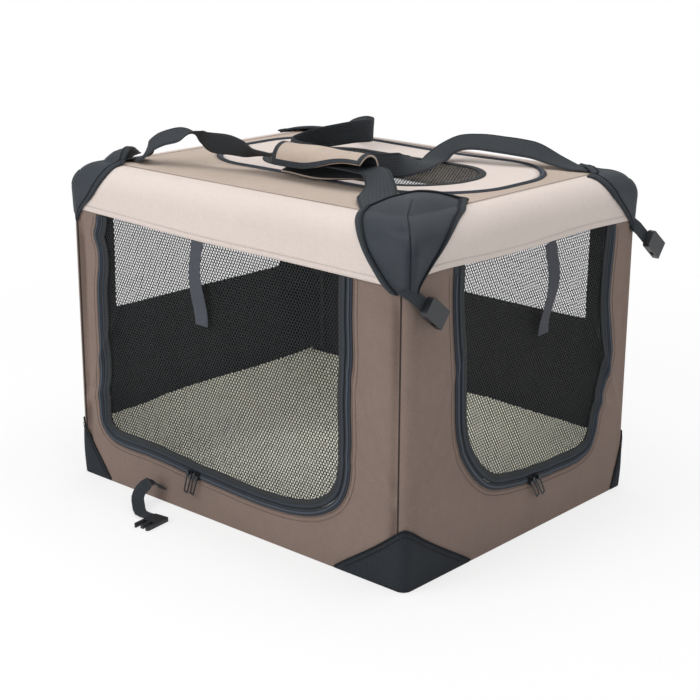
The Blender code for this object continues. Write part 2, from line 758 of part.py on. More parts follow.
def grip_wrap(finish_of, carrier):
    """The padded sleeve round the front handle: an open C seen from its end."""
    centre_x, centre_y, centre_z = over_roof(grip_place_shares)
    stations = np.linspace(-0.5, 0.5, wrap_rings) * grip_length + centre_x
    first, last = grip_gap_angle / 2, 2 * math.pi - grip_gap_angle / 2
    turns = np.linspace(first, last, wrap_stops) + grip_facing - math.pi / 2

    def face(radius):
        return np.array([[(x, centre_y + radius * math.cos(t), centre_z + radius * math.sin(t)) for t in turns]
                         for x in stations])

    return piece("grip_wrap", *sheet_solid(face(grip_radius), face(grip_radius - grip_thickness)),
                 finish_of, carrier)


def slider(name, wall, u, z, finish_of, carrier):
    """A zip slider with an open hook that holds its pull tab."""
    low = touch_gap + zip_thickness + touch_gap
    face = low + slider_depth
    taper = slider_taper_share * slider_width
    half_u, half_z = slider_width / 2, slider_height / 2
    body = [(u - half_u, z + half_z), (u - half_u, z - half_z + taper), (u - half_u + taper, z - half_z),
            (u + half_u - taper, z - half_z), (u + half_u, z - half_z + taper), (u + half_u, z + half_z)]
    made = piece(name, *wall.slab(body, low, face), finish_of, carrier, wall.point(u, z), smooth=False)
    top = z + slider_height / 2 - hook_post
    reach = face + hook_depth
    profile = [(top + hook_post, low + slider_depth / 2), (top + hook_post, reach),
               (top - hook_length(), reach), (top - hook_length(), reach - hook_bar),
               (top, reach - hook_bar), (top, low + slider_depth / 2)]
    outline = [wall.point(u - hook_width / 2, pz, pn) for pz, pn in profile]
    hook = prism(outline, hook_width * wall.along)
    combine(made, helper(f"{name}_hook", *hook, carrier, wall.point(u, z)), "UNION")
    return made


def hook_length():
    """How far the hook's bar comes down: past the pull tab's top bar and a little play."""
    return pull_bar + hook_play


def pull_axis(u, z):
    """Place of a pull tab's top bar in its slider's hook: u, z and distance outside the wall."""
    face = touch_gap + zip_thickness + touch_gap + slider_depth
    return u, z + slider_height / 2 - hook_post - (hook_play + pull_bar) / 2, face + (hook_depth - hook_bar) / 2


def pull_tab(name, wall, u, z, lean, finish_of, carrier):
    """A pull tab: a flat open loop that hangs from the hook and leans a little to one side."""
    centre_u, centre_z, n = pull_axis(u, z)

    def loop(inset):
        half, top, bottom = pull_width / 2 - inset, pull_bar / 2 - inset, pull_bar / 2 - pull_length + inset
        foot = pull_foot_share * half
        corners = [(-half, top), (half, top), (foot, bottom), (-foot, bottom)]
        return [(centre_u + a * math.cos(lean) + b * math.sin(lean),
                 centre_z + b * math.cos(lean) - a * math.sin(lean)) for a, b in corners]

    def face(distance):
        return np.array([[wall.point(a, b, distance) for a, b in line] for line in (loop(0.0), loop(pull_bar))])

    return piece(name, *sheet_solid(face(n + pull_depth / 2), face(n - pull_depth / 2), ring=True),
                 finish_of, carrier, smooth=False)


def tie_strap(name, wall, u, finish_of, carrier):
    """A flat strap that hangs from under the hem outside the net, for tying the rolled door."""
    top = hem_height + hem_tuck
    outline = [(u - tie_webbing / 2, top), (u + tie_webbing / 2, top),
               (u + tie_webbing / 2, top - tie_length), (u - tie_webbing / 2, top - tie_length)]
    return piece(name, *wall.slab(outline, touch_gap, touch_gap + tie_thickness), finish_of, carrier, smooth=False)


def buckle_root(sy):
    """Where a female buckle's strap is sewn: just under the tip of the right corner's patch."""
    n = band_face + touch_gap + patch_cloth
    y = -half_width if sy < 0 else half_width - rear_root_inset
    return half_length + n, y, hem_height - upper_patch_drop - touch_gap


def tilted(origin, along, drop, out):
    """A place in a buckle's own plane: along the strap, square to it and out from the wall."""
    x, y, z = origin
    return (x + out, y + along * math.cos(buckle_tilt) + drop * math.sin(buckle_tilt),
            z - along * math.sin(buckle_tilt) + drop * math.cos(buckle_tilt))


def female_strap(name, sy, finish_of, carrier):
    """The short webbing from the patch to the female buckle."""
    root = buckle_root(sy)
    out = strap_out()
    centres = np.array([tilted(root, a, 0.0, out) for a in np.linspace(0.0, female_strap_length, route_steps + 1)])
    side = np.array(tilted((0, 0, 0), 0.0, 1.0, 0.0))
    sides = np.repeat(side[None], len(centres), axis=0)
    return webbing(name, centres, sides, buckle_webbing, buckle_webbing_thickness, finish_of, carrier)


def strap_out():
    """Distance of the strap's middle outside the point where it is sewn."""
    return buckle_webbing_thickness / 2 + touch_gap


def female_buckle(name, sy, finish_of, carrier, at):
    """The female half of a side-release buckle: a flat box, open at its end and both sides."""
    root = buckle_root(sy)
    start = female_strap_length + touch_gap
    middle = strap_out()
    half_w, half_d = female_width / 2, female_depth / 2
    chamfer = female_chamfer
    outline = [(start, -half_w + chamfer), (start + chamfer, -half_w), (start + female_length, -half_w),
               (start + female_length, half_w), (start + chamfer, half_w), (start, half_w - chamfer)]
    shift = (female_depth, 0, 0)
    lift = half_d - middle + buckle_webbing_thickness
    low = middle - half_d + lift
    made = piece(name, *prism([tilted(root, a, b, low) for a, b in outline], shift), finish_of, carrier, at)

    def cut(label, a0, a1, b0, b1, depth):
        floor = low + (female_depth - depth) / 2
        shape = [tilted(root, a, b, floor) for a, b in ((a0, b0), (a1, b0), (a1, b1), (a0, b1))]
        combine(made, helper(f"{name}_{label}", *prism(shape, (depth, 0, 0)), carrier, at), "DIFFERENCE")

    end = start + female_length
    cut("mouth", end - mouth_length, end + overrun, -mouth_width / 2, mouth_width / 2, mouth_depth)
    window = end - mouth_length + side_window / 2
    cut("sides", window, window + side_window, -half_w - overrun, half_w + overrun, mouth_depth)
    return made


def male_route():
    """The closure strap's own points in the crate's frame."""
    rise = closure_strap_rise
    return [((x * half_length, -half_width - n * rise, z * rise), (a, -b, c))
            for (x, n, z), (a, b, c) in closure_strap_shares]


def male_strap(finish_of, carrier):
    centres, sides = smooth_route(male_route())
    return webbing("closure_strap", centres, sides, buckle_webbing, buckle_webbing_thickness, finish_of, carrier)


def male_buckle(finish_of, carrier):
    """The male half of the buckle, lying on the floor: two spring prongs and a middle guide."""
    centres, _ = smooth_route(male_route())
    (x, y, _), before = centres[-1], centres[-2]
    heading = math.atan2(y - before[1], x - before[0]) + male_turn
    along = Vector((math.cos(heading), math.sin(heading), 0.0))
    side = Vector((-along.y, along.x, 0.0))
    half = male_width / 2
    neck = male_length - prong_length
    guide = male_length - prong_width / 2
    tip = prong_width / 2
    outline = [(0, -half + tip), (tip, -half), (male_length - tip, -half), (male_length, -half + tip),
               (male_length, -half + prong_width), (neck, -half + prong_width),
               (neck, -prong_width / 2), (guide, -prong_width / 2), (guide, prong_width / 2),
               (neck, prong_width / 2), (neck, half - prong_width), (male_length, half - prong_width),
               (male_length, half - tip), (male_length - tip, half), (tip, half), (0, half - tip)]
    start = Vector((x, y, touch_gap)) - along * male_strap_seat + side * (half + touch_gap)
    points = [start + along * a + side * b for a, b in outline]
    return piece("male_buckle", *prism(points, (0, 0, male_depth)), finish_of, carrier, smooth=False)


def build():
    clear_scene()
    steel = finish("painted_steel", (0.10, 0.10, 0.11), 0.45, 0.6)
    brown = finish("brown_cloth", (0.235, 0.180, 0.150), 0.9)
    pale = finish("pale_cloth", (0.70, 0.62, 0.56), 0.9)
    slate = finish("slate_cloth", (0.060, 0.080, 0.098), 0.85)
    strap = finish("dark_webbing", (0.040, 0.050, 0.062), 0.8)
    net = finish("black_net", (0.020, 0.023, 0.026), 0.8)
    fleece = finish("cream_fleece", (0.66, 0.65, 0.54), 0.95)
    tape = finish("zip_tape", (0.032, 0.042, 0.055), 0.75)
    metal = finish("dark_metal", (0.08, 0.085, 0.09), 0.35, 0.8)
    plastic = finish("black_plastic", (0.020, 0.022, 0.025), 0.4)
    board = finish("floor_cloth", (0.16, 0.125, 0.105), 0.9)

    fold = {}
    knees = {}
    for label, corner in CORNERS.items():
        sx, sy = corner
        fold[label] = pivot(f"fold_{label}", (sx * post_x, sy * outer_post_y, base_pivot_z))
        knees[label] = pivot(f"knee_{label}", (sx * post_x, sy * outer_post_y, knee_z), fold[label])
    lead = CORNERS["front_left"]
    top = pivot("top", (lead[0] * post_x, lead[1] * outer_post_y, top_pivot_z), knees["front_left"])

    hoop("base_frame", base_bar_inset, base_bar_z, 1, 1, steel, None)
    hoop("top_frame", top_bar_inset, top_bar_z, -1, -1, steel, top)
    for label, corner in CORNERS.items():
        post(f"lower_post_{label}", corner, outer_post_y, base_pivot_z, knee_z, steel, fold[label])
        post(f"upper_post_{label}", corner, inner_post_y, knee_z, top_pivot_z, steel, knees[label])
        knee_rivet(f"knee_rivet_{label}", corner, steel, fold[label])

    inside = wall_cloth + touch_gap
    piece("floor_panel", *block((-half_length + inside, -half_width + inside, 0.0),
                                (half_length - inside, half_width - inside, floor_thickness)), board, smooth=False)
    floor_mat(fleece)

    wall_piece(FRONT, front_door, brown)
    wall_piece(RIGHT, end_door, brown)
    wall_piece(BACK, back_window, brown)
    wall_piece(LEFT, left_window, brown)
    cover_band(pale, top)
    for label, corner in CORNERS.items():
        upper_patch(f"upper_patch_{label}", corner, slate, top)
        lower_patch(f"lower_patch_{label}", corner, lower_patch_reach[label], slate, None)

    for wall, door, counts, label in ((FRONT, front_door, front_net, "front"), (RIGHT, end_door, end_net, "end")):
        hinge = pivot(f"{label}_door", wall.point(0.0, hem_height), top)
        edge = touch_gap
        outer, inner = opening_outline(door, edge), opening_outline(door, edge + door_binding)
        piece(f"{label}_door_binding", *border(wall, outer, inner, -wall_cloth, 0.0), tape, hinge, smooth=False)
        wall_net(f"{label}_door_net", wall, door, edge + door_binding + touch_gap, counts, net, hinge)
        outside, line = opening_outline(door, -zip_width), opening_outline(door)
        piece(f"{label}_zip", *border(wall, outside, line, touch_gap, touch_gap + zip_thickness), tape, smooth=False)
    wall_net("back_window_net", BACK, back_window, touch_gap, back_net, net, None)
    wall_net("left_window_net", LEFT, left_window, touch_gap, left_net, net, None)

    roof_inset = seam_inset + touch_gap
    seam_radius = band_corner_radius - roof_inset
    outline = rounded_rectangle(half_length - roof_inset, half_width - roof_inset, seam_radius, 2 * arc_steps)
    zip_line = oval(flap_centre, flap_half, flap_radius, touch_gap)
    zip_edge = oval(flap_centre, flap_half, flap_radius, touch_gap + zip_width)
    hole = oval(flap_centre, flap_half, flap_radius, 2 * touch_gap + zip_width)
    flap_pivot = pivot("roof_flap", (flap_centre[0], flap_centre[1] + flap_half[1], roof_height), top)
    flat_ring("roof_panel", outline, hole, roof_under, roof_height, brown, top)
    flat_ring("roof_zip", zip_edge, zip_line, roof_under, roof_height, tape, top)
    flat_ring("roof_flap_cloth", oval(flap_centre, flap_half, flap_radius), oval(vent_centre, vent_half, vent_radius),
              roof_under, roof_height, pale, flap_pivot)
    vent(net, flap_pivot)

    swings = {}
    for label, route in (("front", front_handle_shares), ("rear", rear_handle_shares)):
        _, y, z = over_roof(route[0][0])
        swings[label] = pivot(f"{label}_handle_swing", (0.0, y, z), top)
        handle(f"{label}_handle", route, strap, swings[label])
    grip_wrap(brown, swings["front"])

    for label, wall, door, place in (("front", FRONT, front_door, front_slider_place),
                                     ("end", RIGHT, end_door, end_slider_place)):
        z = door["bottom"] - zip_width / 2
        for side, sign in (("left", -1), ("right", 1)):
            u = place + sign * slider_spacing / 2
            name = f"{label}_slider_{side}"
            run = pivot(name + "_run", wall.point(u, z))
            slider(name, wall, u, z, metal, run)
            au, az, an = pull_axis(u, z)
            swing = pivot(f"{label}_pull_{side}_swing", wall.point(au, az, an), run)
            pull_tab(f"{label}_pull_{side}", wall, u, z, pull_leans[label], metal, swing)
        swing = pivot(f"{label}_tie_swing", wall.point(0.0, hem_height), top)
        tie_strap(f"{label}_tie_strap", wall, front_tie_place if label == "front" else end_tie_place, strap, swing)

    for label, sy in (("front", -1), ("back", 1)):
        root = buckle_root(sy)
        swing = pivot(f"{label}_buckle_strap_swing", root, top)
        female_strap(f"{label}_buckle_strap", sy, strap, swing)
        end = tilted(root, female_strap_length, 0.0, strap_out() + buckle_webbing_thickness / 2 + touch_gap)
        hang = pivot(f"{label}_buckle_swing", end, swing)
        female_buckle(f"{label}_female_buckle", sy, plastic, hang, end)

    closure = pivot("closure_strap_swing", male_route()[0][0])
    male_strap(strap, closure)
    male_buckle(plastic, closure)


build()
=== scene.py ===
# %% [markdown]
# # A soft folding dog crate
# The crate is a sewn cloth cover over a frame of steel tube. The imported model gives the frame, the sizes
# and the joints. This script dresses it: cloth walls, a pale band round the top, dark corner patches, net
# doors, zips, webbing handles and a fleece mat. Each piece is a surface worked out on a grid, so its shape
# can be read as a formula, and each rides on the body that carries it.

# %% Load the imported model
import json
import math

import bmesh
import bpy
import numpy as np
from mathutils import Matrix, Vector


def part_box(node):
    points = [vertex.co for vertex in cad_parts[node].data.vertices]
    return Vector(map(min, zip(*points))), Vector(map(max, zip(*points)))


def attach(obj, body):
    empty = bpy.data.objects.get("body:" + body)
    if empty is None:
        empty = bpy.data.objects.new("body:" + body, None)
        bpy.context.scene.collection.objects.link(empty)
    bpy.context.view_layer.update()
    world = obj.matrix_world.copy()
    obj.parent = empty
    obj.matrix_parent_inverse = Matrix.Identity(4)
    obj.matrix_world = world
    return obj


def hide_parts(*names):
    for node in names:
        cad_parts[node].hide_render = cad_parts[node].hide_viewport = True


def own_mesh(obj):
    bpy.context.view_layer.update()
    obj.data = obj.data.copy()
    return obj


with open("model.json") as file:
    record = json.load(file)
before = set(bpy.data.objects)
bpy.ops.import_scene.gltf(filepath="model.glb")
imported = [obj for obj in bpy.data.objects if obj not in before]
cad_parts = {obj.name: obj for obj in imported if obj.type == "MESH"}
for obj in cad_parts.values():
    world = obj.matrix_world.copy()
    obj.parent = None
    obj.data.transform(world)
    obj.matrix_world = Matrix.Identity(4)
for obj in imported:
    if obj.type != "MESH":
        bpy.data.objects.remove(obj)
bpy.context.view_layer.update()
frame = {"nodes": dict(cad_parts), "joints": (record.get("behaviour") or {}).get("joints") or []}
joints = {joint["name"]: joint for joint in frame["joints"]}
corners = {"front_left": (-1, -1), "front_right": (1, -1), "back_left": (-1, 1), "back_right": (1, 1)}

# %% Sizes read from the frame
half_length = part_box("back_wall")[1][0]
half_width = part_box("back_wall")[1][1]
wall_top = 0.466
hem = joints["front_door"]["pos_m"][2]
roof_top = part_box("roof_panel")[1][2]
mat_low, mat_high = np.array(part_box("fleece_mat"))
band_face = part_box("cover_band")[1][0] - half_length
corner_radius = 0.013
sill_top = 0.090
wall_cloth = 0.0026
band_cloth = 0.0018
roof_cloth = 0.0016
patch_cloth = 0.0012
foot_cloth = 0.0008
carry_width = 0.038
tie_width = 0.026
inside = np.array((0.0, 0.0, roof_top / 2))
print("crate half length, half width, hem and roof:", half_length, half_width, hem, roof_top)

# %% [markdown]
# ## Shader maths as Python
# A finish is a net of nodes. Written one node at a time it is hard to read, so a small class holds a socket
# and turns sums and products on it into Math nodes. A second class holds one material and adds any other
# node.


# %% Sockets that can be added and multiplied
class Value:
    """A socket that carries a number or a vector, so that a formula on it reads as one."""

    def __init__(self, finish, socket):
        self.finish = finish
        self.socket = socket

    def math(self, operation, *others):
        """The result of one Math node on this value and any others."""
        return self.finish.value("ShaderNodeMath", {"operation": operation}, dict(enumerate((self, *others))))

    def __add__(self, other):
        return self.math("ADD", other)

    def __sub__(self, other):
        return self.math("SUBTRACT", other)

    def __rsub__(self, other):
        return self.finish.value("ShaderNodeMath", {"operation": "SUBTRACT"}, {0: other, 1: self})

    def __mul__(self, other):
        return self.math("MULTIPLY", other)

    def __truediv__(self, other):
        return self.math("DIVIDE", other)

    __radd__ = __add__
    __rmul__ = __mul__


class Finish:
    """One material: its shader, and a method that adds a node with its settings and its sockets."""

    def __init__(self, name, colour, roughness, metallic=0.0, sheen=0.0, specular=0.5):
        self.material = bpy.data.materials.new(name)
        self.material.use_nodes = True
        self.tree = self.material.node_tree
        self.shader = self.tree.nodes["Principled BSDF"]
        self.colour = colour
        self.shader.inputs["Base Color"].default_value = (*colour, 1.0)
        self.shader.inputs["Roughness"].default_value = roughness
        self.shader.inputs["Metallic"].default_value = metallic
        self.shader.inputs["Sheen Weight"].default_value = sheen
        self.shader.inputs["Specular IOR Level"].default_value = specular

    def node(self, kind, settings=None, sockets=None):
        """A new node: its settings, and for each socket a number or a value that is linked to it."""
        made = self.tree.nodes.new(kind)
        for name, setting in (settings or {}).items():
            setattr(made, name, setting)
        for key, given in (sockets or {}).items():
            if isinstance(given, Value):
                self.tree.links.new(given.socket, made.inputs[key])
            else:
                made.inputs[key].default_value = given
        return made

    def value(self, kind, settings=None, sockets=None, out=0):
        """The same, as the value of one of the node's outputs."""
        return Value(self, self.node(kind, settings, sockets).outputs[out])

    def link(self, value, name):
        """Gives a value to one of the shader's own sockets."""
        self.tree.links.new(value.socket, self.shader.inputs[name])

    def cloth_map(self):
        """The piece's own flat coordinates, in metres along and up the cloth."""
        return self.value("ShaderNodeUVMap", {"uv_map": "cloth"})

    def parts(self, vector):
        """A vector's first two coordinates."""
        split = self.node("ShaderNodeSeparateXYZ", sockets={0: vector})
        return Value(self, split.outputs[0]), Value(self, split.outputs[1])

    def place(self):
        """The point's place in the piece's own space, in metres."""
        return self.value("ShaderNodeTexCoord", out="Object")

    def noise(self, vector, scale, detail=2.0):
        """Smooth noise between 0 and 1, with so many lumps in a metre."""
        return self.value("ShaderNodeTexNoise", sockets={"Vector": vector, "Scale": scale, "Detail": detail})

    def wave(self, value, pitch):
        """A sine that repeats once each pitch, from minus 1 to 1."""
        return (value * (2 * math.pi / pitch)).math("SINE")

    def tint(self, brightness):
        """The base colour times a brightness that changes over the surface."""
        scaled = self.value("ShaderNodeVectorMath", {"operation": "SCALE"},
                            {0: self.colour, "Scale": brightness})
        self.link(scaled, "Base Color")

    def bump(self, height, distance, strength=0.6):
        """Relief that only the light sees: a height from 0 to 1 over a distance in metres."""
        self.link(self.value("ShaderNodeBump", sockets={"Height": height, "Distance": distance,
                                                        "Strength": strength}), "Normal")


# %% [markdown]
# ## Woven cloth
# The cover is a plain weave of polyester. Threads cross about every millimetre, which a lens this far off
# sees as a fine grain, so the finish has the weave itself as bump, a grain of single threads, and slow
# patches where the cloth has been rubbed. The weave reads each piece's own flat map, so it turns with the
# cloth at corners.


# %% Cloth finishes
def woven(name, colour, pitch, roughness=0.9, grain=0.30, mottle=0.22, depth=0.0004, specular=0.3):
    """Weave height is the product of two sines, one for the warp and one for the weft."""
    cloth = Finish(name, colour, roughness, specular=specular)
    flat = cloth.cloth_map()
    along, up = cloth.parts(flat)
    weave = cloth.wave(along, pitch) * cloth.wave(up, pitch)
    threads = cloth.noise(flat, 1.0 / pitch, 1.0)
    patches = cloth.noise(cloth.place(), 9.0, 3.0)
    slubs = cloth.noise(cloth.place(), 60.0, 2.0)
    yarns = cloth.noise(cloth.place(), 420.0, 1.0)
    # light is mostly tone that differs at random; its weave term is painted shade, darker where the threads
    # dip and lighter where they rise.
    light = ((threads - 0.5) * grain + (yarns - 0.5) * grain + (patches - 0.5) * mottle
             + (slubs - 0.5) * mottle * 0.6 + weave * 0.05 + 1.0)
    cloth.tint(light)
    cloth.bump(weave * 0.5 + threads, depth)
    return cloth.material


cover_weave = 0.0011
patch_weave = 0.0014
thread_twist = 0.0009
brown = woven("brown_cloth", (0.224, 0.166, 0.140), cover_weave)
# The walls' brown made over twice as light: a painted highlight for the top light and sheen on the roof. The
# grip sleeve takes the same lighter copy.
painted_lit_brown = woven("brown_roof_cloth", (0.50, 0.41, 0.345), cover_weave, grain=0.22)
# Near black, as the crate's inside lies in shade: painted shade on the walls' inner side.
painted_inner_shade = woven("dark_lining", (0.016, 0.015, 0.015), cover_weave)
pale = woven("pale_cloth", (0.70, 0.615, 0.57), cover_weave, grain=0.14, mottle=0.07)
slate = woven("slate_cloth", (0.017, 0.024, 0.034), patch_weave, roughness=0.45, grain=0.80, mottle=0.40,
              specular=0.4)
binding = woven("slate_binding", (0.028, 0.034, 0.041), 0.0018, roughness=0.75, grain=0.90, mottle=0.20)
low_patch = woven("lower_patch_cloth", (0.017, 0.021, 0.027), patch_weave, roughness=0.8, grain=0.80)
board = woven("floor_cloth", (0.16, 0.125, 0.105), cover_weave)
thread = woven("brown_thread", (0.16, 0.115, 0.095), thread_twist)
dark_thread = woven("dark_thread", (0.012, 0.014, 0.017), thread_twist)
# Dark partly as the seam's own colour and partly as painted shade of the crease beside the corner seam.
seam_thread = woven("seam_thread", (0.045, 0.034, 0.029), thread_twist)
pale_thread = woven("pale_thread", (0.60, 0.53, 0.49), thread_twist)
print("woven finishes:", brown.name, painted_lit_brown.name, pale.name, slate.name, binding.name, low_patch.name)


# %% [markdown]
# ## Webbing, zip tape and fleece
# Webbing is woven in narrow ribs that run across it, zip tape in finer ones, and fleece is a pile of loops
# with no direction. Ribs are a sine along the strap, and the pile is noise at two sizes.


# %% Webbing, tape and fleece finishes
def ribbed(name, colour, pitch, roughness=0.8, depth=0.0005):
    """Ribs are a sine along the strap, broken by a finer one across it."""
    strap = Finish(name, colour, roughness)
    flat = strap.cloth_map()
    across, along = strap.parts(flat)
    ribs = strap.wave(along + across * 0.35, pitch) * 0.6 + strap.wave(across, pitch * 1.4) * 0.4
    fuzz = strap.noise(flat, 900.0, 2.0)
    rub = strap.noise(strap.place(), 14.0, 3.0)
    # The rib term is painted shade and highlight: lighter on the ribs' crests, darker between them. Fuzz and
    # rub are tone that differs at random.
    strap.tint(ribs * 0.42 + (fuzz - 0.5) * 0.9 + (rub - 0.5) * 0.40 + 1.0)
    strap.bump(ribs * 0.5 + fuzz * 0.4, depth)
    return strap.material


def pile(name, colour):
    """Loops are noise at 5 mm, with finer hairs on them."""
    fleece = Finish(name, colour, 0.95, sheen=0.3)
    place = fleece.place()
    loops = fleece.noise(place, 210.0, 2.0)
    hairs = fleece.noise(place, 900.0, 2.0)
    rub = fleece.noise(place, 12.0, 2.0)
    # Loops and hairs are painted shade: lighter where the pile stands up, darker between the loops. Rub is
    # tone that differs at random.
    fleece.tint(loops * 0.16 + hairs * 0.10 + (rub - 0.5) * 0.10 + 0.87)
    fleece.bump(loops + hairs * 0.4, 0.0030, 0.8)
    return fleece.material


webbing = ribbed("dark_webbing", (0.022, 0.027, 0.033), 0.0030, depth=0.0010)
tie_webbing = ribbed("tie_webbing", (0.052, 0.057, 0.072), 0.0018)
tape = ribbed("zip_tape", (0.024, 0.032, 0.044), 0.0013)
coil_finish = ribbed("zip_coil", (0.050, 0.062, 0.082), 0.0016, roughness=0.5)
door_edge = ribbed("door_edge", (0.018, 0.021, 0.024), 0.0020)
fleece = pile("cream_fleece", (0.93, 0.92, 0.79))
print("ribbed finishes and fleece:", webbing.name, tie_webbing.name, tape.name, door_edge.name, fleece.name)


# %% [markdown]
# ## Knitted net
# The net is a black knit with small upright holes in staggered rows, five and a half millimetres apart
# along a row and four and a half from row to row. So many holes can't be cut as geometry, so they are cut
# by the Alpha of the finish. The holes stand on two lattices, one halfway between the other, and a point is
# in a hole when it lies inside the ellipse round the nearest place of either. The thread round each hole is
# raised by bump. The two windows have a finer net, which from in front is only a grey veil.


# %% Net finish
def net(name, colour, pitch, row, hole_half, shine=0.6):
    """The lesser of two elliptic distances, each to the nearest place of a lattice; 1 is a hole's edge."""
    knit = Finish(name, colour, shine, specular=0.25)
    along, up = knit.parts(knit.cloth_map())
    column, level = along / pitch, up / (2 * row)

    def ellipse(shift):
        """Square of the elliptic distance to the nearest place of a lattice moved by this share of a cell."""
        a = (column + shift).math("FRACT") - 0.5
        b = (level + shift).math("FRACT") - 0.5
        return a * a * (pitch / hole_half[0]) ** 2 + b * b * (2 * row / hole_half[1]) ** 2

    reach = ellipse(0.0).math("MINIMUM", ellipse(0.5))
    knit.link(reach.math("GREATER_THAN", 1.0), "Alpha")
    knit.bump(reach.math("MINIMUM", 2.5), row * 0.4)
    knit.tint(knit.noise(knit.place(), 30.0) * 0.5 + 0.75)
    return knit.material


net_colour = (0.016, 0.019, 0.021)
mesh_net = net("black_net", net_colour, 0.0054, 0.0045, (0.00170, 0.00205))
fine_net = net("fine_black_net", net_colour, 0.0027, 0.00225, (0.00122, 0.00118))
print("net finishes:", mesh_net.name, fine_net.name)


# %% [markdown]
# ## Metal and plastic
# The zip pulls are cast in dark metal and the buckles are moulded in black nylon, which has a soft gloss
# and a very fine texture from the mould. The tubes are powder painted.


# %% Hard finishes
def hard(name, colour, roughness, metallic, grain, depth):
    """A smooth surface with a fine noise in its height and its roughness."""
    smooth = Finish(name, colour, roughness, metallic)
    place = smooth.place()
    speckle = smooth.noise(place, grain, 2.0)
    rub = smooth.noise(place, 45.0, 3.0)
    smooth.link(speckle * 0.10 + rub * 0.14 + (roughness - 0.12), "Roughness")
    smooth.tint((rub - 0.5) * 0.25 + 1.0)
    smooth.bump(speckle, depth, 0.3)
    return smooth.material


metal = hard("dark_metal", (0.070, 0.075, 0.082), 0.34, 0.85, 1200.0, 0.00005)
plastic = hard("black_plastic", (0.020, 0.022, 0.026), 0.36, 0.0, 1800.0, 0.00006)
steel = hard("painted_steel", (0.030, 0.031, 0.034), 0.42, 0.3, 1500.0, 0.00006)
for node, made in frame["nodes"].items():
    if "post" in node or "rivet" in node or node.endswith("_frame"):
        chosen = steel
    elif "slider" in node or "pull" in node:
        chosen = metal
    elif "buckle" in node and "strap" not in node:
        chosen = plastic
    elif node == "floor_panel":
        chosen = board
    else:
        chosen = webbing
    made.data.materials.clear()
    made.data.materials.append(chosen)
print("nodes of the packed model with a finish:", len(frame["nodes"]))


# %% [markdown]
# ## From a grid of points to a piece
# A surface is a grid: rows one way, columns the other. Its points are joined with quads, it gets a flat map
# in metres and its faces are turned outwards. Whole arrays do this, with no loop over points. Then it
# becomes an object and is handed to the body that carries it.


# %% Grid helpers
def quads(rows, columns):
    """Corner numbers of the quads of a grid, as one array."""
    first = (np.arange(rows - 1)[:, None] * columns + np.arange(columns - 1)[None]).reshape(-1)
    return np.stack([first, first + 1, first + columns + 1, first + columns], axis=1)


def unit(vectors):
    """Vectors of length 1 with the same directions."""
    return vectors / np.maximum(np.linalg.norm(vectors, axis=-1, keepdims=True), 1e-12)


def running(steps):
    """Length covered at each place of a line, from the steps between them."""
    return np.concatenate([[0.0], np.cumsum(steps)])


def read_off(line, run, at):
    """Points of a line at the given lengths, where run is the length at each of its own points."""
    return np.stack([np.interp(at, run, values) for values in line.T], axis=-1)


def lengths(points, axis):
    """Length along a grid from its first line, averaged over the other direction."""
    return running(np.linalg.norm(np.diff(points, axis=axis), axis=2).mean(axis=1 - axis))


def flat_map(points):
    """Flat coordinates of a grid: length along the columns and length along the rows."""
    across, up = np.meshgrid(lengths(points, 1), lengths(points, 0))
    return np.stack([across, up], axis=-1)


def turned_out(points, faces, centre):
    """The same faces, turned round if they look towards the centre."""
    a, b, c = points[faces[:, 0]], points[faces[:, 1]], points[faces[:, 2]]
    away = (np.cross(b - a, c - a) * (a - centre)).sum()
    return faces if away > 0 else faces[:, ::-1]


def reshape(mesh, change):
    """Opens a mesh, changes it and writes it back."""
    shell = bmesh.new()
    shell.from_mesh(mesh)
    change(shell)
    shell.to_mesh(mesh)
    shell.free()


def face_outwards(made):
    """Turns the faces of a closed shell outwards."""
    reshape(made.data, lambda shell: bmesh.ops.recalc_face_normals(shell, faces=shell.faces))


def make_piece(name, points, faces, finish, body, slot, flat=None, caps=(), weld=False, smooth=True):
    """A mesh object from points and faces, on its body, with its flat map."""
    mesh = bpy.data.meshes.new(name)
    mesh.from_pydata(points.tolist(), [], faces.tolist() + [list(map(int, cap)) for cap in caps])
    if flat is not None:
        layer = mesh.uv_layers.new(name="cloth")
        corner = np.empty(len(mesh.loops), int)
        mesh.loops.foreach_get("vertex_index", corner)
        layer.data.foreach_set("uv", flat.reshape(-1, 2)[corner].reshape(-1))
    for each in finish if isinstance(finish, tuple) else (finish,):
        mesh.materials.append(each)
    if weld:
        reshape(mesh, lambda shell: bmesh.ops.remove_doubles(shell, verts=shell.verts, dist=1e-6))
    if smooth:
        mesh.shade_smooth()
        mesh.set_sharp_from_angle(angle=math.radians(50))
    made = bpy.data.objects.new(name, mesh)
    bpy.context.scene.collection.objects.link(made)
    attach(made, body)
    return made


# %% [markdown]
# ## Cloth sheets
# A sheet is a grid with a thickness, which a Solidify modifier gives it inwards. The inside of the cover
# lies in shade, so its inner side takes a second, near-black finish: painted shade. Each sheet's flat size
# and the area of its faces are also printed.


# %% Sheets and their declaration
def thicken(made, thickness, dark_inside=False, rim=True):
    """Cloth has two sides: the sheet grows inwards, and its inner side may take the second finish."""
    solid = made.modifiers.new("cloth", "SOLIDIFY")
    solid.thickness = thickness
    solid.offset = -1.0
    solid.use_even_offset = False
    solid.material_offset = 1 if dark_inside else 0
    solid.use_rim = rim
    return made


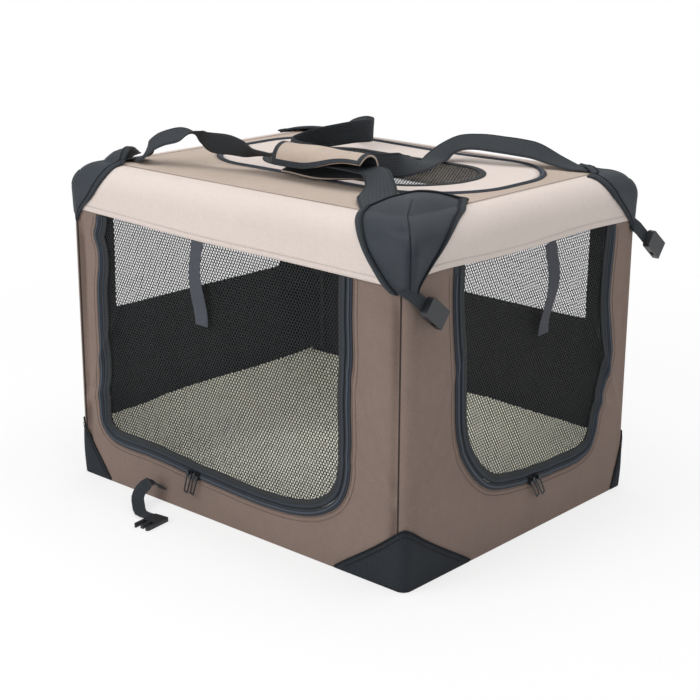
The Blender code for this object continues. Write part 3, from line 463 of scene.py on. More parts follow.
def sheet_piece(name, points, finish, body, slot, thickness, flat=None, weld=False, dark_inside=False, rim=True):
    """A cloth sheet from a grid of points on its outer side."""
    rows, columns = points.shape[:2]
    flat = flat_map(points) if flat is None else flat
    # The inner side takes the near-black painted shade.
    finish = (finish, painted_inner_shade) if dark_inside else finish
    cloud = points.reshape(-1, 3)
    faces = turned_out(cloud, quads(rows, columns), inside)
    made = make_piece(name, cloud, faces, finish, body, slot, flat, weld=weld)
    return thicken(made, thickness, dark_inside, rim) if thickness else made


def as_sheet(made, size):
    """Prints a cloth sheet's flat size, an oblong, and the area of its faces."""
    areas = np.empty(len(made.data.polygons))
    made.data.polygons.foreach_get("area", areas)
    width, length = size
    print("sheet", made.name, "flat", round(width, 3), round(length, 3), "area", round(areas.sum(), 4))
    max(length, 1.001 * areas.sum() / width)
    return made


def grid_size(points):
    """A grid's longest row and its longest column, which are its cut's width and length."""
    return [np.linalg.norm(np.diff(points, axis=axis), axis=2).sum(axis=axis).max() for axis in (1, 0)]


# %% [markdown]
# ## Straps, pipings and coils
# A strap is a flat section carried along a path, and so is a piping or a zip coil with a round one. The
# rings are joined and both ends are capped. A path through given places is a cubic between each two, so
# it is smooth.


# %% Profiles carried along a path
def carried(path, side, profile):
    """Grid of a profile along a path; the profile's first value lies along side, its second square to it."""
    along = unit(np.gradient(path, axis=0))
    side = unit(side - (side * along).sum(axis=1, keepdims=True) * along)
    up = np.cross(along, side)
    if profile.ndim == 2:
        profile = np.repeat(profile[None], len(path), axis=0)
    return path[:, None] + profile[..., :1] * side[:, None] + profile[..., 1:] * up[:, None]


def solid_piece(name, rings, finish, body, slot):
    """A closed solid from rings of points: the rings are joined round, and both ends are capped."""
    rows, columns = rings.shape[:2]
    round_again = np.concatenate([rings, rings[:, :1]], axis=1)
    flat = flat_map(round_again)
    cloud = round_again.reshape(-1, 3)
    faces = turned_out(cloud, quads(rows, columns + 1), 0.0)
    first = list(range(columns))
    last = [(rows - 1) * (columns + 1) + i for i in range(columns)]
    caps = (first, last[::-1]) if faces[0][1] == 1 else (first[::-1], last)
    made = make_piece(name, cloud, faces, finish, body, slot, flat, caps, weld=True)
    face_outwards(made)
    return made


def round_profile(radius, sides=8):
    """A round section as a polygon."""
    turns = np.linspace(0, 2 * math.pi, sides, endpoint=False)
    return np.stack([radius * np.cos(turns), radius * np.sin(turns)], axis=-1)


def strap_profile(thickness, selvedge=0.15):
    """A flat strap's section, one metre wide: a thin oblong, a little thicker along both edges."""
    share = np.array([-1.0, -0.96, -0.82, -0.4, 0.0, 0.4, 0.82, 0.96, 1.0])
    height = thickness / 2 * np.array([0.35, 0.9, 1.0 + selvedge, 1.0, 0.95, 1.0, 1.0 + selvedge, 0.9, 0.35])
    top = np.stack([share / 2, height], axis=-1)
    under = np.stack([share[::-1] / 2, -height[::-1]], axis=-1)
    return np.concatenate([top, under])


def strap(name, path, side, width, thickness, finish, body, slot):
    """A strap along a path; its width is one number or one for each place."""
    profile = np.repeat(strap_profile(thickness)[None], len(path), axis=0)
    profile[..., 0] *= np.broadcast_to(width, len(path))[:, None]
    return solid_piece(name, carried(path, side, profile), finish, body, slot)


def cord_of(name, path, radius, finish, body, slot, side=(0.0, 0.0, 1.0)):
    """A thin round piece, such as a piping or a seam's groove."""
    sideways = np.broadcast_to(np.array(side, float), path.shape) + 1e-4
    return solid_piece(name, carried(path, sideways, round_profile(radius)), finish, body, slot)


# %% Smooth curves and steps
def through(knots, at):
    """A smooth curve through given knots: cubic between each two, with slopes from their neighbours."""
    knots = np.array(knots, float)
    x, y = knots[:, 0], knots[:, 1:]
    slope = np.gradient(y, x, axis=0)
    at = np.clip(np.asarray(at, float), x[0], x[-1])
    k = np.clip(np.searchsorted(x, at, side="right") - 1, 0, len(x) - 2)
    gap = (x[k + 1] - x[k])[..., None]
    t = ((at - x[k]) / (x[k + 1] - x[k]))[..., None]
    value = ((2 * t**3 - 3 * t**2 + 1) * y[k] + (t**3 - 2 * t**2 + t) * gap * slope[k]
             + (3 * t**2 - 2 * t**3) * y[k + 1] + (t**3 - t**2) * gap * slope[k + 1])
    return value[..., 0] if value.shape[-1] == 1 else value


def soft_step(value):
    """Rises smoothly from 0 to 1, with no slope at either end."""
    value = np.clip(value, 0.0, 1.0)
    return value * value * (3 - 2 * value)


# %% [markdown]
# ## The four sides
# A side has two coordinates: u from left to right as someone outside sees it, and z up. Past the end of its
# straight part u bends round the corner on a small arc, which is what a cloth corner does over a tube. The
# cloth isn't flat: it draws in a little between its seams, and beside each corner a long side has a soft
# crease. The relief fades out at the corner's seam, where two walls have to meet in one line.


# %% Sides and their relief
class Side:
    """One side of the crate: its two directions, half its width, its distance from the middle, its crease."""

    def __init__(self, name, along, outward, half, face, crease=0.0085):
        self.name = name
        self.crease = crease
        self.along = np.array(along, float)
        self.outward = np.array(outward, float)
        self.half = half
        self.face = face

    def relief(self, u, z):
        """How far the cloth lies off its plane: slow waves, and folds and a crease by each corner."""
        clear = soft_step((z - 0.045) / 0.06) * soft_step((hem - z) / 0.05)
        slack = np.sin(9.0 * u + 2.0 * z + self.half) * np.cos(13.0 * z - 5.0 * u)
        end = self.half - np.abs(u)
        wave = -0.0014 * (1 + slack) * soft_step((end - 0.055) / 0.03)
        depth = 0.75 + 0.25 * np.sin(21 * z + self.half)
        crease = -self.crease * np.exp(-(((end - 0.0205) / 0.0070) ** 2)) * depth
        flat_fold = np.exp(-(((z - 0.12 - 0.55 * end) / 0.011) ** 2))
        steep_fold = np.exp(-(((z - 0.10 - 1.9 * end) / 0.014) ** 2))
        by_corner = soft_step((0.15 - end) / 0.08) * soft_step((end - 0.004) / 0.02)
        fold = 0.0030 * (flat_fold + steep_fold) * by_corner
        fine = 0.0009 * np.sin(62 * u + 21 * z) * np.sin(17 * z - 38 * u) * soft_step((end - 0.02) / 0.02)
        meets = soft_step((end - corner_radius) / 0.005)
        return clear * meets * (wave + crease + fold + fine)

    def place(self, u, z, n=0.0, flat=False):
        """World points of places u and z on the side, n outside it."""
        u, z, n = np.broadcast_arrays(np.asarray(u, float), np.asarray(z, float), np.asarray(n, float))
        if not flat:
            n = n + self.relief(u, z)
        start = self.half - corner_radius
        over = np.maximum(np.abs(u) - start, 0.0)
        turn = np.minimum(over / corner_radius, math.pi / 2)
        past = np.maximum(over - corner_radius * math.pi / 2, 0.0)
        reach = corner_radius + n
        a = np.sign(u) * (np.minimum(np.abs(u), start) + reach * np.sin(turn))
        b = self.face - corner_radius + reach * np.cos(turn) - past
        level = z[..., None] * np.array((0.0, 0.0, 1.0))
        return a[..., None] * self.along + b[..., None] * self.outward + level


# %% The four sides
front = Side("front", (1, 0, 0), (0, -1, 0), half_length, half_width)
back = Side("back", (-1, 0, 0), (0, 1, 0), half_length, half_width)
right = Side("right", (0, 1, 0), (1, 0, 0), half_width, half_length, crease=0.0020)
left = Side("left", (0, -1, 0), (-1, 0, 0), half_width, half_length, crease=0.0020)
sides = (front, right, back, left)
print("sides and half widths:", [(side.name, round(side.half, 3)) for side in sides])


# %% [markdown]
# ## Openings
# Each side has one opening: a door on the front and on the right end, a window on the other two. It is a U:
# down one side, along the sill and up again. Sewn zips never run dead straight, so each door's U is a
# smooth line through knots given on its outer edge. Every tape, binding and seam is a line parallel
# to it.


# %% Openings and their outlines
zip_width = 0.010
net_top = hem + 0.006


class Opening:
    """A U on a side, from its top left round to its top right, and the lines parallel to it."""

    def __init__(self, side, knots, border=zip_width):
        self.side = side
        self.border = border
        knots = np.array(knots, float)
        run = running(np.hypot(*np.diff(knots, axis=0).T))
        self.line = through(np.column_stack([run, knots]), np.linspace(0, run[-1], 1400))
        ahead = unit(np.gradient(self.line, axis=0))
        self.inward = np.stack([-ahead[:, 1], ahead[:, 0]], axis=-1)

    def outline(self, inset, count, top=net_top):
        """Points at equal steps on the line parallel to the opening's edge, cut off at the top."""
        line = self.line + self.inward * (inset + self.border)
        half = len(line) // 2
        first = np.interp(-top, -line[:half, 1], np.arange(half))
        last = np.interp(top, line[half:, 1], np.arange(half, len(line)))
        at = np.concatenate([[first], np.arange(math.ceil(first), math.floor(last) + 1), [last]])
        line = read_off(line, np.arange(len(line)), at)
        run = running(np.hypot(*np.diff(line, axis=0).T))
        even = np.linspace(0, run[-1], count)
        return np.interp(even, run, line[:, 0]), np.interp(even, run, line[:, 1])

    def path(self, inset, count, n=0.0, top=net_top):
        """The same line as world points, n outside the cloth."""
        u, z = self.outline(inset, count, top)
        return self.side.place(u, z, n)

    def widths(self, z, inset, top):
        """The U's left and right edge at each height."""
        u, level = self.outline(inset, 1200, top)
        low = int(np.argmin(level))
        first = np.interp(z, np.maximum.accumulate(level[:low + 1][::-1]), u[:low + 1][::-1])
        last = np.interp(z, np.maximum.accumulate(level[low:]), u[low:])
        return first, last


def window(side, left_edge, right_edge, bottom, radius=0.008):
    """A window's U: straight down, a small arc, along, a small arc, straight up."""
    turn = np.linspace(0, math.pi / 2, 6)
    sine, cosine = radius * np.sin(turn), radius * np.cos(turn)
    first = np.stack([left_edge + radius - cosine, bottom + radius - sine], axis=-1)
    last = np.stack([right_edge - radius + sine, bottom + radius - cosine], axis=-1)
    drop = np.linspace(0.48, bottom + 0.03, 12)
    down = np.stack([np.full(12, left_edge), drop], axis=-1)
    sill = np.linspace(left_edge + 0.02, right_edge - 0.02, 24)
    along = np.stack([sill, np.full(24, bottom)], axis=-1)
    up = np.stack([np.full(12, right_edge), drop[::-1]], axis=-1)
    return Opening(side, np.concatenate([down, first, along, last, up]), 0.0)


# %% The four openings
back_low, back_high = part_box("back_window_net")
left_low, left_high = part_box("left_window_net")
front_opening = Opening(front, [
    (-0.288, 0.480), (-0.288, 0.455), (-0.289, 0.433), (-0.2955, 0.416), (-0.287, 0.385), (-0.287, 0.370),
    (-0.293, 0.335), (-0.2935, 0.270), (-0.294, 0.199), (-0.2985, 0.150), (-0.299, 0.115), (-0.2955, 0.096),
    (-0.285, 0.082), (-0.268, 0.0725), (-0.245, 0.0690), (-0.187, 0.0685), (-0.128, 0.0655), (-0.070, 0.0610),
    (-0.015, 0.0585), (0.040, 0.0560), (0.092, 0.0560), (0.144, 0.0605), (0.184, 0.0710), (0.213, 0.0870),
    (0.232, 0.1060), (0.243, 0.1290), (0.248, 0.159), (0.249, 0.200), (0.248, 0.260), (0.2505, 0.320),
    (0.249, 0.380), (0.251, 0.440), (0.251, 0.480)])
end_opening = Opening(right, [
    (-0.186, 0.480), (-0.185, 0.440), (-0.184, 0.405), (-0.181, 0.362), (-0.175, 0.317), (-0.171, 0.258),
    (-0.168, 0.213), (-0.160, 0.180), (-0.143, 0.150), (-0.119, 0.123), (-0.089, 0.101), (-0.054, 0.0905),
    (-0.019, 0.0850), (0.034, 0.0800), (0.087, 0.0775), (0.125, 0.0765), (0.156, 0.0790), (0.181, 0.0890),
    (0.194, 0.113), (0.200, 0.145), (0.209, 0.176), (0.221, 0.207), (0.2265, 0.238), (0.221, 0.272),
    (0.212, 0.323), (0.214, 0.380), (0.217, 0.440), (0.217, 0.480)])
back_opening = window(back, -back_high[0], -back_low[0], back_low[2])
left_opening = window(left, -left_high[1], -left_low[1], left_low[2])
openings = (front_opening, end_opening, back_opening, left_opening)
print("lowest place of each opening:", [round(float(opening.line[:, 1].min()), 3) for opening in openings])


# %% [markdown]
# ## Cloth walls
# A wall is a U of cloth round its opening, so its grid runs along the U one way and from the opening's edge
# out to the wall's own edge the other way. The crate folds: the walls above the sill crumple down onto it.
# So each wall is cut at the top of the sill into a part on the sill and a part above it, both on the base.


# %% Cutting at the sill
def cut_level(made, height, keep_above):
    """Cuts a mesh at a height and keeps the part above it or below it."""
    def cut(shell):
        everything = shell.verts[:] + shell.edges[:] + shell.faces[:]
        bmesh.ops.bisect_plane(shell, geom=everything, plane_co=(0, 0, height), plane_no=(0, 0, 1), dist=1e-7,
                               clear_inner=keep_above, clear_outer=not keep_above)

    reshape(made.data, cut)
    return made


def on_sill_and_above(name, build, nodes):
    """Builds a piece twice and cuts it at the sill: one part on the sill, one above it."""
    low = cut_level(build(f"{name}_sill"), sill_top, False)
    high = cut_level(build(f"{name}_upper"), sill_top, True)
    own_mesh(high)
    if nodes:
        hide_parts(*nodes)
        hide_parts(*nodes)
    return low, high


# %% Walls
def wall(opening, reach, count=260, rows=44):
    """Rays from the middle of the wall's top run through the opening's edge to the wall's own edge."""
    side = opening.side
    u, z = opening.outline(0.0, count, wall_top)
    middle = (u[0] + u[-1]) / 2
    turn = np.arctan2(wall_top - z, u - middle)
    corner_turns = np.arctan2((wall_top, wall_top), (-reach - middle, reach - middle))
    every = np.sort(np.concatenate([turn, corner_turns]))[::-1]
    inner_u, inner_z = (np.interp(every, turn[::-1], places[::-1]) for places in (u, z))
    ahead, down = np.cos(every), np.maximum(np.sin(every), 1e-9)
    to_side = (np.sign(ahead) * reach - middle) / np.where(np.abs(ahead) < 1e-9, 1e-9, ahead)
    run = np.minimum(np.where(to_side > 0, to_side, 1e9), wall_top / down)
    out_u, out_z = middle + run * ahead, wall_top - run * np.sin(every)
    share = np.linspace(0, 1, rows)[:, None]
    wide_u = inner_u + (out_u - inner_u) * share
    high_z = np.clip(inner_z + (out_z - inner_z) * share, 0.0, wall_top)
    flat = np.stack([wide_u, high_z], axis=-1)

    def build(name):
        return sheet_piece(name, side.place(wide_u, high_z), brown, "base", "brown_cloth", wall_cloth, flat,
                           dark_inside=True, rim=False)

    low, high = on_sill_and_above(f"{side.name}_cloth", build, [f"{side.name}_wall"])
    as_sheet(low, (2 * reach, sill_top))
    places = np.empty(len(high.data.vertices) * 3)
    high.data.vertices.foreach_get("co", places)
    along = places.reshape(-1, 3) @ side.along
    legs = np.ptp(along[along < 0]) + np.ptp(along[along > 0])
    as_sheet(high, (min(2 * reach, 1.04 * legs), wall_top - sill_top))


round_corner = corner_radius * math.pi / 2
front_reach = half_length - corner_radius
end_reach = half_width - corner_radius + round_corner
wall(front_opening, front_reach)
wall(end_opening, end_reach)
wall(back_opening, front_reach)
wall(left_opening, end_reach)


# %% [markdown]
# ## Nets
# A net fills its U. Its grid has one row for each height, from the left edge of the U to the right one,
# with rows closer together in the round corners. The door nets hang a little slack and ride on their doors,
# and the window nets are sewn into the walls.


# %% Nets
net_depth = -0.0012


def net_sheet(name, opening, inset, body, node, sag, finish=mesh_net, top=hem + 0.005, rows=70, columns=90):
    """Heights crowd towards the bottom as a power does; each row spans the U at its height."""
    low = opening.outline(inset, 400, top)[1].min() + 0.0002
    z = low + (top - low) * np.linspace(0, 1, rows)[:, None] ** 1.6
    edge_left, edge_right = opening.widths(z, inset, top)
    share = np.linspace(0, 1, columns)[None]
    u = edge_left + (edge_right - edge_left) * share
    z = np.repeat(z, columns, axis=1)
    slack = -sag * np.sin(math.pi * share) * np.sin(math.pi * (z - low) / (top - low))
    ripple = 0.35 * sag * np.sin(38.0 * u + 9.0 * z) * np.sin(math.pi * share)
    points = opening.side.place(u, z, net_depth + slack + ripple)
    made = sheet_piece(name, points, finish, body, "black_net", 0.0, np.stack([u, z], axis=-1))
    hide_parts(node)
    return as_sheet(made, (grid_size(points)[0], top - low))


net_edge = 0.0123
front_net = net_sheet("front_door_mesh", front_opening, net_edge, "front_door", "front_door_net", 0.004)
end_net = net_sheet("end_door_mesh", end_opening, net_edge, "end_door", "end_door_net", 0.003,
                    top=hem + 0.010)
for made in (front_net, end_net):
    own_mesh(made)
for made in (net_sheet("back_window_mesh", back_opening, 0.0, "base", "back_window_net", 0.003, fine_net),
             net_sheet("left_window_mesh", left_opening, 0.0, "base", "left_window_net", 0.003, fine_net)):
    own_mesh(made)


# %% [markdown]
# ## Door edges and zips
# The door's edge is bound in dark cloth, and the zip's two tapes meet in a coil of nylon. Tape and binding
# are strips between two insets of the same U. The coil is a round profile whose radius swells once a tooth.
# A row of stitches is a row of short flat boxes, all made as one array.


# %% Strips, coils and stitches
def strip(name, opening, insets, n, finish, body, thickness, crown=0.0, count=300, top=hem):
    """A strip between two insets, with a crown across it."""
    share = np.linspace(0, 1, 6)[:, None]
    first, last = (np.stack(opening.outline(inset, count, top), axis=-1) for inset in insets)
    line = first[None] + (last - first)[None] * share[..., None]
    height = n + crown * np.sin(math.pi * share)
    points = opening.side.place(line[..., 0], line[..., 1], height)
    return sheet_piece(name, points, finish, body, "zip_tape", thickness)


def toothed(path, out, radius):
    """Rings of a zip's coil: their radius swells and shrinks once a tooth."""
    swell = np.where(np.arange(len(path)) % 2, 0.82, 1.12)[:, None, None]
    return carried(path, np.broadcast_to(out, path.shape), swell * round_profile(radius, 6)[None])


def coil(name, opening, inset, radius=0.0015, tooth=0.0022):
    """The coil of a door's zip, with two rings for each tooth."""
    height, top = 0.0024, hem - 0.006
    length = np.linalg.norm(np.diff(opening.path(inset, 400, height, top), axis=0), axis=1).sum()
    path = opening.path(inset, int(length / tooth) * 2 + 1, height, top)
    return solid_piece(name, toothed(path, opening.side.outward, radius), coil_finish, "base", "zip_tape")


def stitch_row(name, path, normal, finish, body, slot, length=0.0026, pitch=0.0040, width=0.0007):
    """Short flat dashes along a path, each a small box whose eight corners are worked out as one array."""
    rise, near = 0.0005, 1e-3
    run = running(np.linalg.norm(np.diff(path, axis=0), axis=1))
    at = np.arange(pitch / 2, run[-1], pitch)
    centre = read_off(path, run, at)
    along = unit(read_off(path, run, at + near) - read_off(path, run, at - near))
    up = read_off(np.broadcast_to(np.asarray(normal, float), path.shape), run, at)
    up = unit(up - (up * along).sum(axis=1, keepdims=True) * along)
    across = np.cross(along, up)
    signs = np.array([(a, b, c) for c in (-1, 1) for a, b in ((-1, -1), (1, -1), (1, 1), (-1, 1))], float)
    points = (centre[:, None] + signs[None, :, :1] * along[:, None] * length / 2
              + signs[None, :, 1:2] * across[:, None] * width / 2 + signs[None, :, 2:] * up[:, None] * rise)
    box = np.array([(3, 2, 1, 0), (4, 5, 6, 7), (0, 1, 5, 4), (1, 2, 6, 5), (2, 3, 7, 6), (3, 0, 4, 7)])
    faces = (np.arange(len(at))[:, None, None] * 8 + box[None]).reshape(-1, 4)
    cloud = points.reshape(-1, 3)
    flat = np.stack([cloud[:, 0] + cloud[:, 1], cloud[:, 2]], axis=-1)
    return make_piece(name, cloud, faces, finish, body, slot, flat, smooth=False)


# %% Zips, bindings and seams of the doors and windows
for opening, label in ((front_opening, "front"), (end_opening, "end")):
    door = f"{label}_door"
    top = hem + (0.009 if label == "end" else 0.0)
    on_sill_and_above(f"{label}_zip_tape", lambda name: strip(
        name, opening, (-zip_width, -0.0002), 0.0016, tape, "base", 0.0013, 0.0003, top=top),
        [f"{label}_zip"])
    on_sill_and_above(f"{label}_zip_coil", lambda name: coil(name, opening, -0.0050), [])
    bound = strip(f"{label}_door_edge", opening, (0.0003, 0.0150), 0.0010, door_edge, door, 0.0022, 0.0010,
                  top=top)
    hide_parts(f"{label}_door_binding")
    lip = strip(f"{label}_door_lip", opening, (0.0020, 0.0070), 0.0022, tape, door, 0.0010, 0.0010)
    for made in (bound, lip):
        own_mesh(made)
    for inset, seam in ((-0.0125, "inner"), (-0.0185, "outer")):
        on_sill_and_above(f"{label}_{seam}_seam", lambda name: stitch_row(
            name, opening.path(inset, 400, 0.0002, hem - 0.004), opening.side.outward, thread, "base",
            "brown_cloth"), [])
    print(label, "door: binding with", len(bound.data.polygons), "faces, lip with", len(lip.data.polygons))
for opening, label in ((back_opening, "back"), (left_opening, "left")):
    edge = strip(f"{label}_window_edge", opening, (-0.006, 0.005), 0.0016, door_edge, "base", 0.0014, 0.0008)
    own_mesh(edge)


# %% [markdown]
# ## Corner seams
# The walls meet in a seam just in front of each round corner. It is a thin piping, cut at the sill like the
# cloth it joins. Its dark colour is partly the seam's own and partly painted shade of the corner's crease.


# %% Corner seams
seam_place = half_length - corner_radius - 0.0005
level = np.linspace(0.004, wall_top - 0.012, 120)
for side in (front, back):
    for sign, end in ((-1, "left"), (1, "right")):
        path = side.place(np.full_like(level, sign * seam_place), level, 0.0004)
        on_sill_and_above(f"{side.name}_{end}_seam", lambda name: cord_of(
            name, path, 0.0012, seam_thread, "base", "brown_cloth", side.outward), [])
print("corner seams from", level[0], "to", round(level[-1], 3), "m")


# %% [markdown]
# ## The pale band
# The band hangs from the roof's edge down to the hem. From the hem it goes straight up, bends over the top
# tube on an arc and runs a few centimetres onto the roof. Its rows follow that length, its columns run
# right round the crate. The hem is a free edge, so it rises and falls by a few millimetres.


# %% Rings round the crate
bend_radius = 0.036
cover = 0.002
bend_n = band_face - cover - bend_radius
bend_z = roof_top - cover - bend_radius
seam_inset = 0.046
hem_knots = (((-0.35, 0.449), (-0.28, 0.4485), (-0.05, 0.441), (0.15, 0.440), (0.25, 0.439), (0.35, 0.438)),
             ((-0.28, 0.452), (-0.23, 0.454), (-0.09, 0.450), (0.01, 0.450), (0.11, 0.452), (0.28, 0.446)),
             ((-0.35, 0.447), (0.0, 0.444), (0.35, 0.447)),
             ((-0.28, 0.447), (0.0, 0.445), (0.28, 0.447)))
side_reach = np.array([side.half - corner_radius for side in sides])
side_face = np.array([side.face - corner_radius for side in sides])
side_along = np.array([side.along for side in sides])
side_outward = np.array([side.outward for side in sides])
hem_start = np.array([knots[0][1] for knots in hem_knots])


def perimeter(count):
    """Equal steps round the crate: number of the side, straight place on it, turn at its corner."""
    turns = np.linspace(0, math.pi / 2, 9)[1:-1]
    straight = np.linspace(-side_reach, side_reach, count, axis=1)
    u = np.concatenate([straight, np.repeat(side_reach[:, None], len(turns), axis=1)], axis=1)
    turn = np.tile(np.concatenate([np.zeros(count), turns]), len(sides))
    k = np.repeat(np.arange(len(sides)), count + len(turns))
    return np.append(k, 0), np.append(u, -side_reach[0]), np.append(turn, 0.0)


def ring_row(places, n, z):
    """World points right round the crate, n outside its face and at the height z."""
    k, u, turn = places
    reach = np.broadcast_to(corner_radius + n, u.shape)
    radius = np.maximum(reach, 0.0006)
    shrink = reach - radius
    along = u / side_reach[k] * (side_reach[k] + shrink)
    base = along[:, None] * side_along[k] + (side_face[k] + shrink)[:, None] * side_outward[k]
    bent = (np.cos(turn)[:, None] * side_outward[k]
            + np.sin(turn)[:, None] * side_outward[(k + 1) % len(sides)])
    points = base + radius[:, None] * bent
    points[:, 2] += z
    return points


def tucked(points, amount=0.0055, reach=0.055):
    """Pulls cloth in along the diagonal at the three corners where the cover is tight, less with distance."""
    points = points.copy()
    for sx, sy in ((-1, -1), (-1, 1), (1, 1)):
        away = np.hypot(points[..., 0] - sx * half_length, points[..., 1] - sy * half_width)
        pull = amount * np.exp(-((away / reach) ** 2)) / math.sqrt(2)
        points[..., 0] -= sx * pull
        points[..., 1] -= sy * pull
    return points


def hem_level(places):
    """Height of the free hem at each place; at a corner it goes evenly from one side's level to the next."""
    k, u, turn = places
    levels = [through(knots, u) for knots in hem_knots]
    here = np.choose(k, levels)
    there = hem_start[(k + 1) % len(sides)]
    return here + (there - here) * turn / (math.pi / 2)


def cover_profile(t):
    """Inset and height along the cover above the bend's foot: an arc, then straight onto the roof."""
    arc = bend_radius * math.pi / 2
    angle = np.minimum(t / bend_radius, math.pi / 2)
    past = np.maximum(t - arc, 0.0)
    reach = bend_radius + cover
    return bend_n + reach * np.cos(angle) - past, bend_z + reach * np.sin(angle)


# %% Band
def band():
    """Rows from the hem up to the bend, then over it by equal lengths to the seam, and two stitch rows."""
    places = perimeter(70)
    edge = hem_level(places)
    rows = []
    for share in np.linspace(0, 1, 12):
        level = edge + (bend_z - edge) * share
        flutter = 0.0008 * np.sin(np.arange(len(edge)) * 0.13) * (1 - share)
        rows.append(ring_row(places, band_face + flutter * 0.6, level))
    whole = bend_radius * math.pi / 2 + seam_inset + bend_n
    for t in np.linspace(0, whole, 26)[1:]:
        n, z = cover_profile(t)
        rows.append(ring_row(places, n, z))
    points = tucked(np.array(rows))
    made = sheet_piece("pale_band", points, pale, "top", "pale_cloth", band_cloth, weld=True)
    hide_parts("cover_band")
    as_sheet(made, grid_size(points)[::-1])
    row = ring_row(places, band_face + 0.0007, edge + 0.0085)
    outward = unit(row * np.array((1.0, 1.0, 0.0)))
    hem_row = stitch_row("hem_stitches", tucked(row), outward, pale_thread, "top", "pale_cloth", width=0.0006)
    inset, level = cover_profile(whole - 0.0045)
    flat_row = ring_row(places, inset, level + 0.0004)
    stitch_row("roof_stitches", flat_row, (0.0, 0.0, 1.0), pale_thread, "top", "pale_cloth", width=0.0006)
    for each in (made, hem_row):
        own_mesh(each)
    print("band: hem between", round(edge.min(), 4), "and", round(edge.max(), 4), "m")


band()

# %% [markdown]
# ## Corner patches
# Each top corner wears a dark shield. Its tip lies below the hem, it widens evenly up to the roof, and on
# the roof it is cut straight across the corner. It is stuffed a little, so it stands proud of the frame and
# its cut edge arches off the roof. A row of its grid runs along one side, round the corner and along the
# other. Above the bend the rows turn by degrees into the straight cut. A broad tape binds all three edges,
# with a dark seam inside it.

# %% Shape of a shield
tip_z = hem - 0.016
near_long = [(0.0, 0.028), (0.10, 0.044), (0.22, 0.056), (0.34, 0.067), (0.45, 0.0756), (0.56, 0.084),
             (0.68, 0.0945), (0.80, 0.105), (0.90, 0.112), (1.0, 0.118)]
near_short = [(0.0, 0.006), (0.10, 0.012), (0.22, 0.026), (0.34, 0.041), (0.45, 0.056), (0.56, 0.073),
              (0.68, 0.0945), (0.80, 0.119), (0.90, 0.144), (1.0, 0.160)]
far_long = [(0.0, 0.010), (0.208, 0.029), (0.388, 0.054), (0.567, 0.073), (0.717, 0.082), (1.0, 0.082)]
far_short = [(0.0, 0.008), (0.144, 0.022), (0.393, 0.053), (0.551, 0.076), (0.70, 0.087), (1.0, 0.096)]
# For each corner: reach along the long side and the end side, the cut's two ends on the roof, how far the cut
# arches, how far the shield bulges and how tight it lies round the corner.
patch_shapes = {"front_right": (near_long, near_short, (0.122, 0.050), (0.054, 0.193), 0.0150, 0.0075, 0.004),
                "front_left": (far_long, far_short, (0.075, 0.045), (0.022, 0.130), 0.0150, 0.0020, 0.010),
                "back_right": (far_long, far_short, (0.098, 0.020), (0.020, 0.094), 0.0020, 0.0030, 0.010),
                "back_left": (far_long, far_short, (0.095, 0.028), (0.024, 0.110), 0.0030, 0.0020, 0.010)}
bend_share = 0.82


def patch_point(label, s, t):
    """A place on the shield: s from its long-side edge to its end-side edge, t from its tip to its cut."""
    long_reach, short_reach, cut_long, cut_short, cut_rise, _, tight = patch_shapes[label]
    wall_run = bend_z - tip_z
    whole = wall_run + bend_radius * math.pi / 2
    share = np.minimum(t / bend_share, 1.0)
    run = share * whole
    n, z = cover_profile(np.maximum(run - wall_run, 0.0))
    n = np.where(run < wall_run, band_face, n) + 0.0006
    z = np.where(run < wall_run, tip_z + run, z + 0.0006)
    radius = tight + 0.008 * (1 - share)
    near_x, near_y = half_length + n - radius, half_width + n - radius
    edge_x = np.minimum(half_length - through(long_reach, share), near_x - 1e-4)
    edge_y = np.minimum(half_width - through(short_reach, share), near_y - 1e-4)
    first, last = 0.42, 0.58
    a = np.clip(s / first, 0, 1)
    turn = np.clip((s - first) / (last - first), 0, 1) * math.pi / 2
    b = np.clip((s - last) / (1 - last), 0, 1)
    around = np.stack([edge_x + (near_x - edge_x) * a + radius * np.sin(turn),
                       near_y + radius * np.cos(turn) + (edge_y - near_y) * b, z], axis=-1)
    cut = np.stack([half_length - cut_long[0] + (cut_long[0] - cut_short[0]) * s,
                    half_width - cut_long[1] - (cut_short[1] - cut_long[1]) * s,
                    roof_top + 0.0022 + cut_rise * np.sin(math.pi * s) ** 1.3], axis=-1)
    over = np.clip((t - bend_share) / (1 - bend_share), 0, 1)
    points = around + (cut - around) * over[..., None]
    points[..., 2] += 0.47 * cut_rise * np.sin(math.pi * over) * np.sin(math.pi * s)
    sx, sy = corners[label]
    points = points * np.array((sx, sy, 1.0))
    return points if label == "front_right" else tucked(points)


def grid_normals(points):
    """Normals of a grid, all turned away from the crate."""
    normal = unit(np.cross(np.gradient(points, axis=1), np.gradient(points, axis=0)))
    return normal * np.sign((normal * unit(points - inside)).sum())


def puffed(label, s, t, lift):
    """The shield's place, pushed out along its own normal: most in its middle, nothing at its edges."""
    points = patch_point(label, s, t)
    *_, bulge, _ = patch_shapes[label]
    mid = np.sin(math.pi * s) ** 0.6 * np.sin(math.pi * np.clip(t * 0.90 + 0.04, 0, 1)) ** 0.7
    dent = 0.5 * np.exp(-(((s - 0.40) / 0.10) ** 2 + ((t - 0.60) / 0.035) ** 2))
    seam = 0.22 * np.exp(-(((s - 0.5) / 0.018) ** 2)) * soft_step((0.97 - t) / 0.1)
    slack = 0.10 * np.sin(19 * s + 7 * t) * np.sin(13 * t - 6 * s)
    rise = lift + bulge * (mid * (1 + slack) - dent * mid - seam * mid)
    return points + grid_normals(points) * rise[..., None]


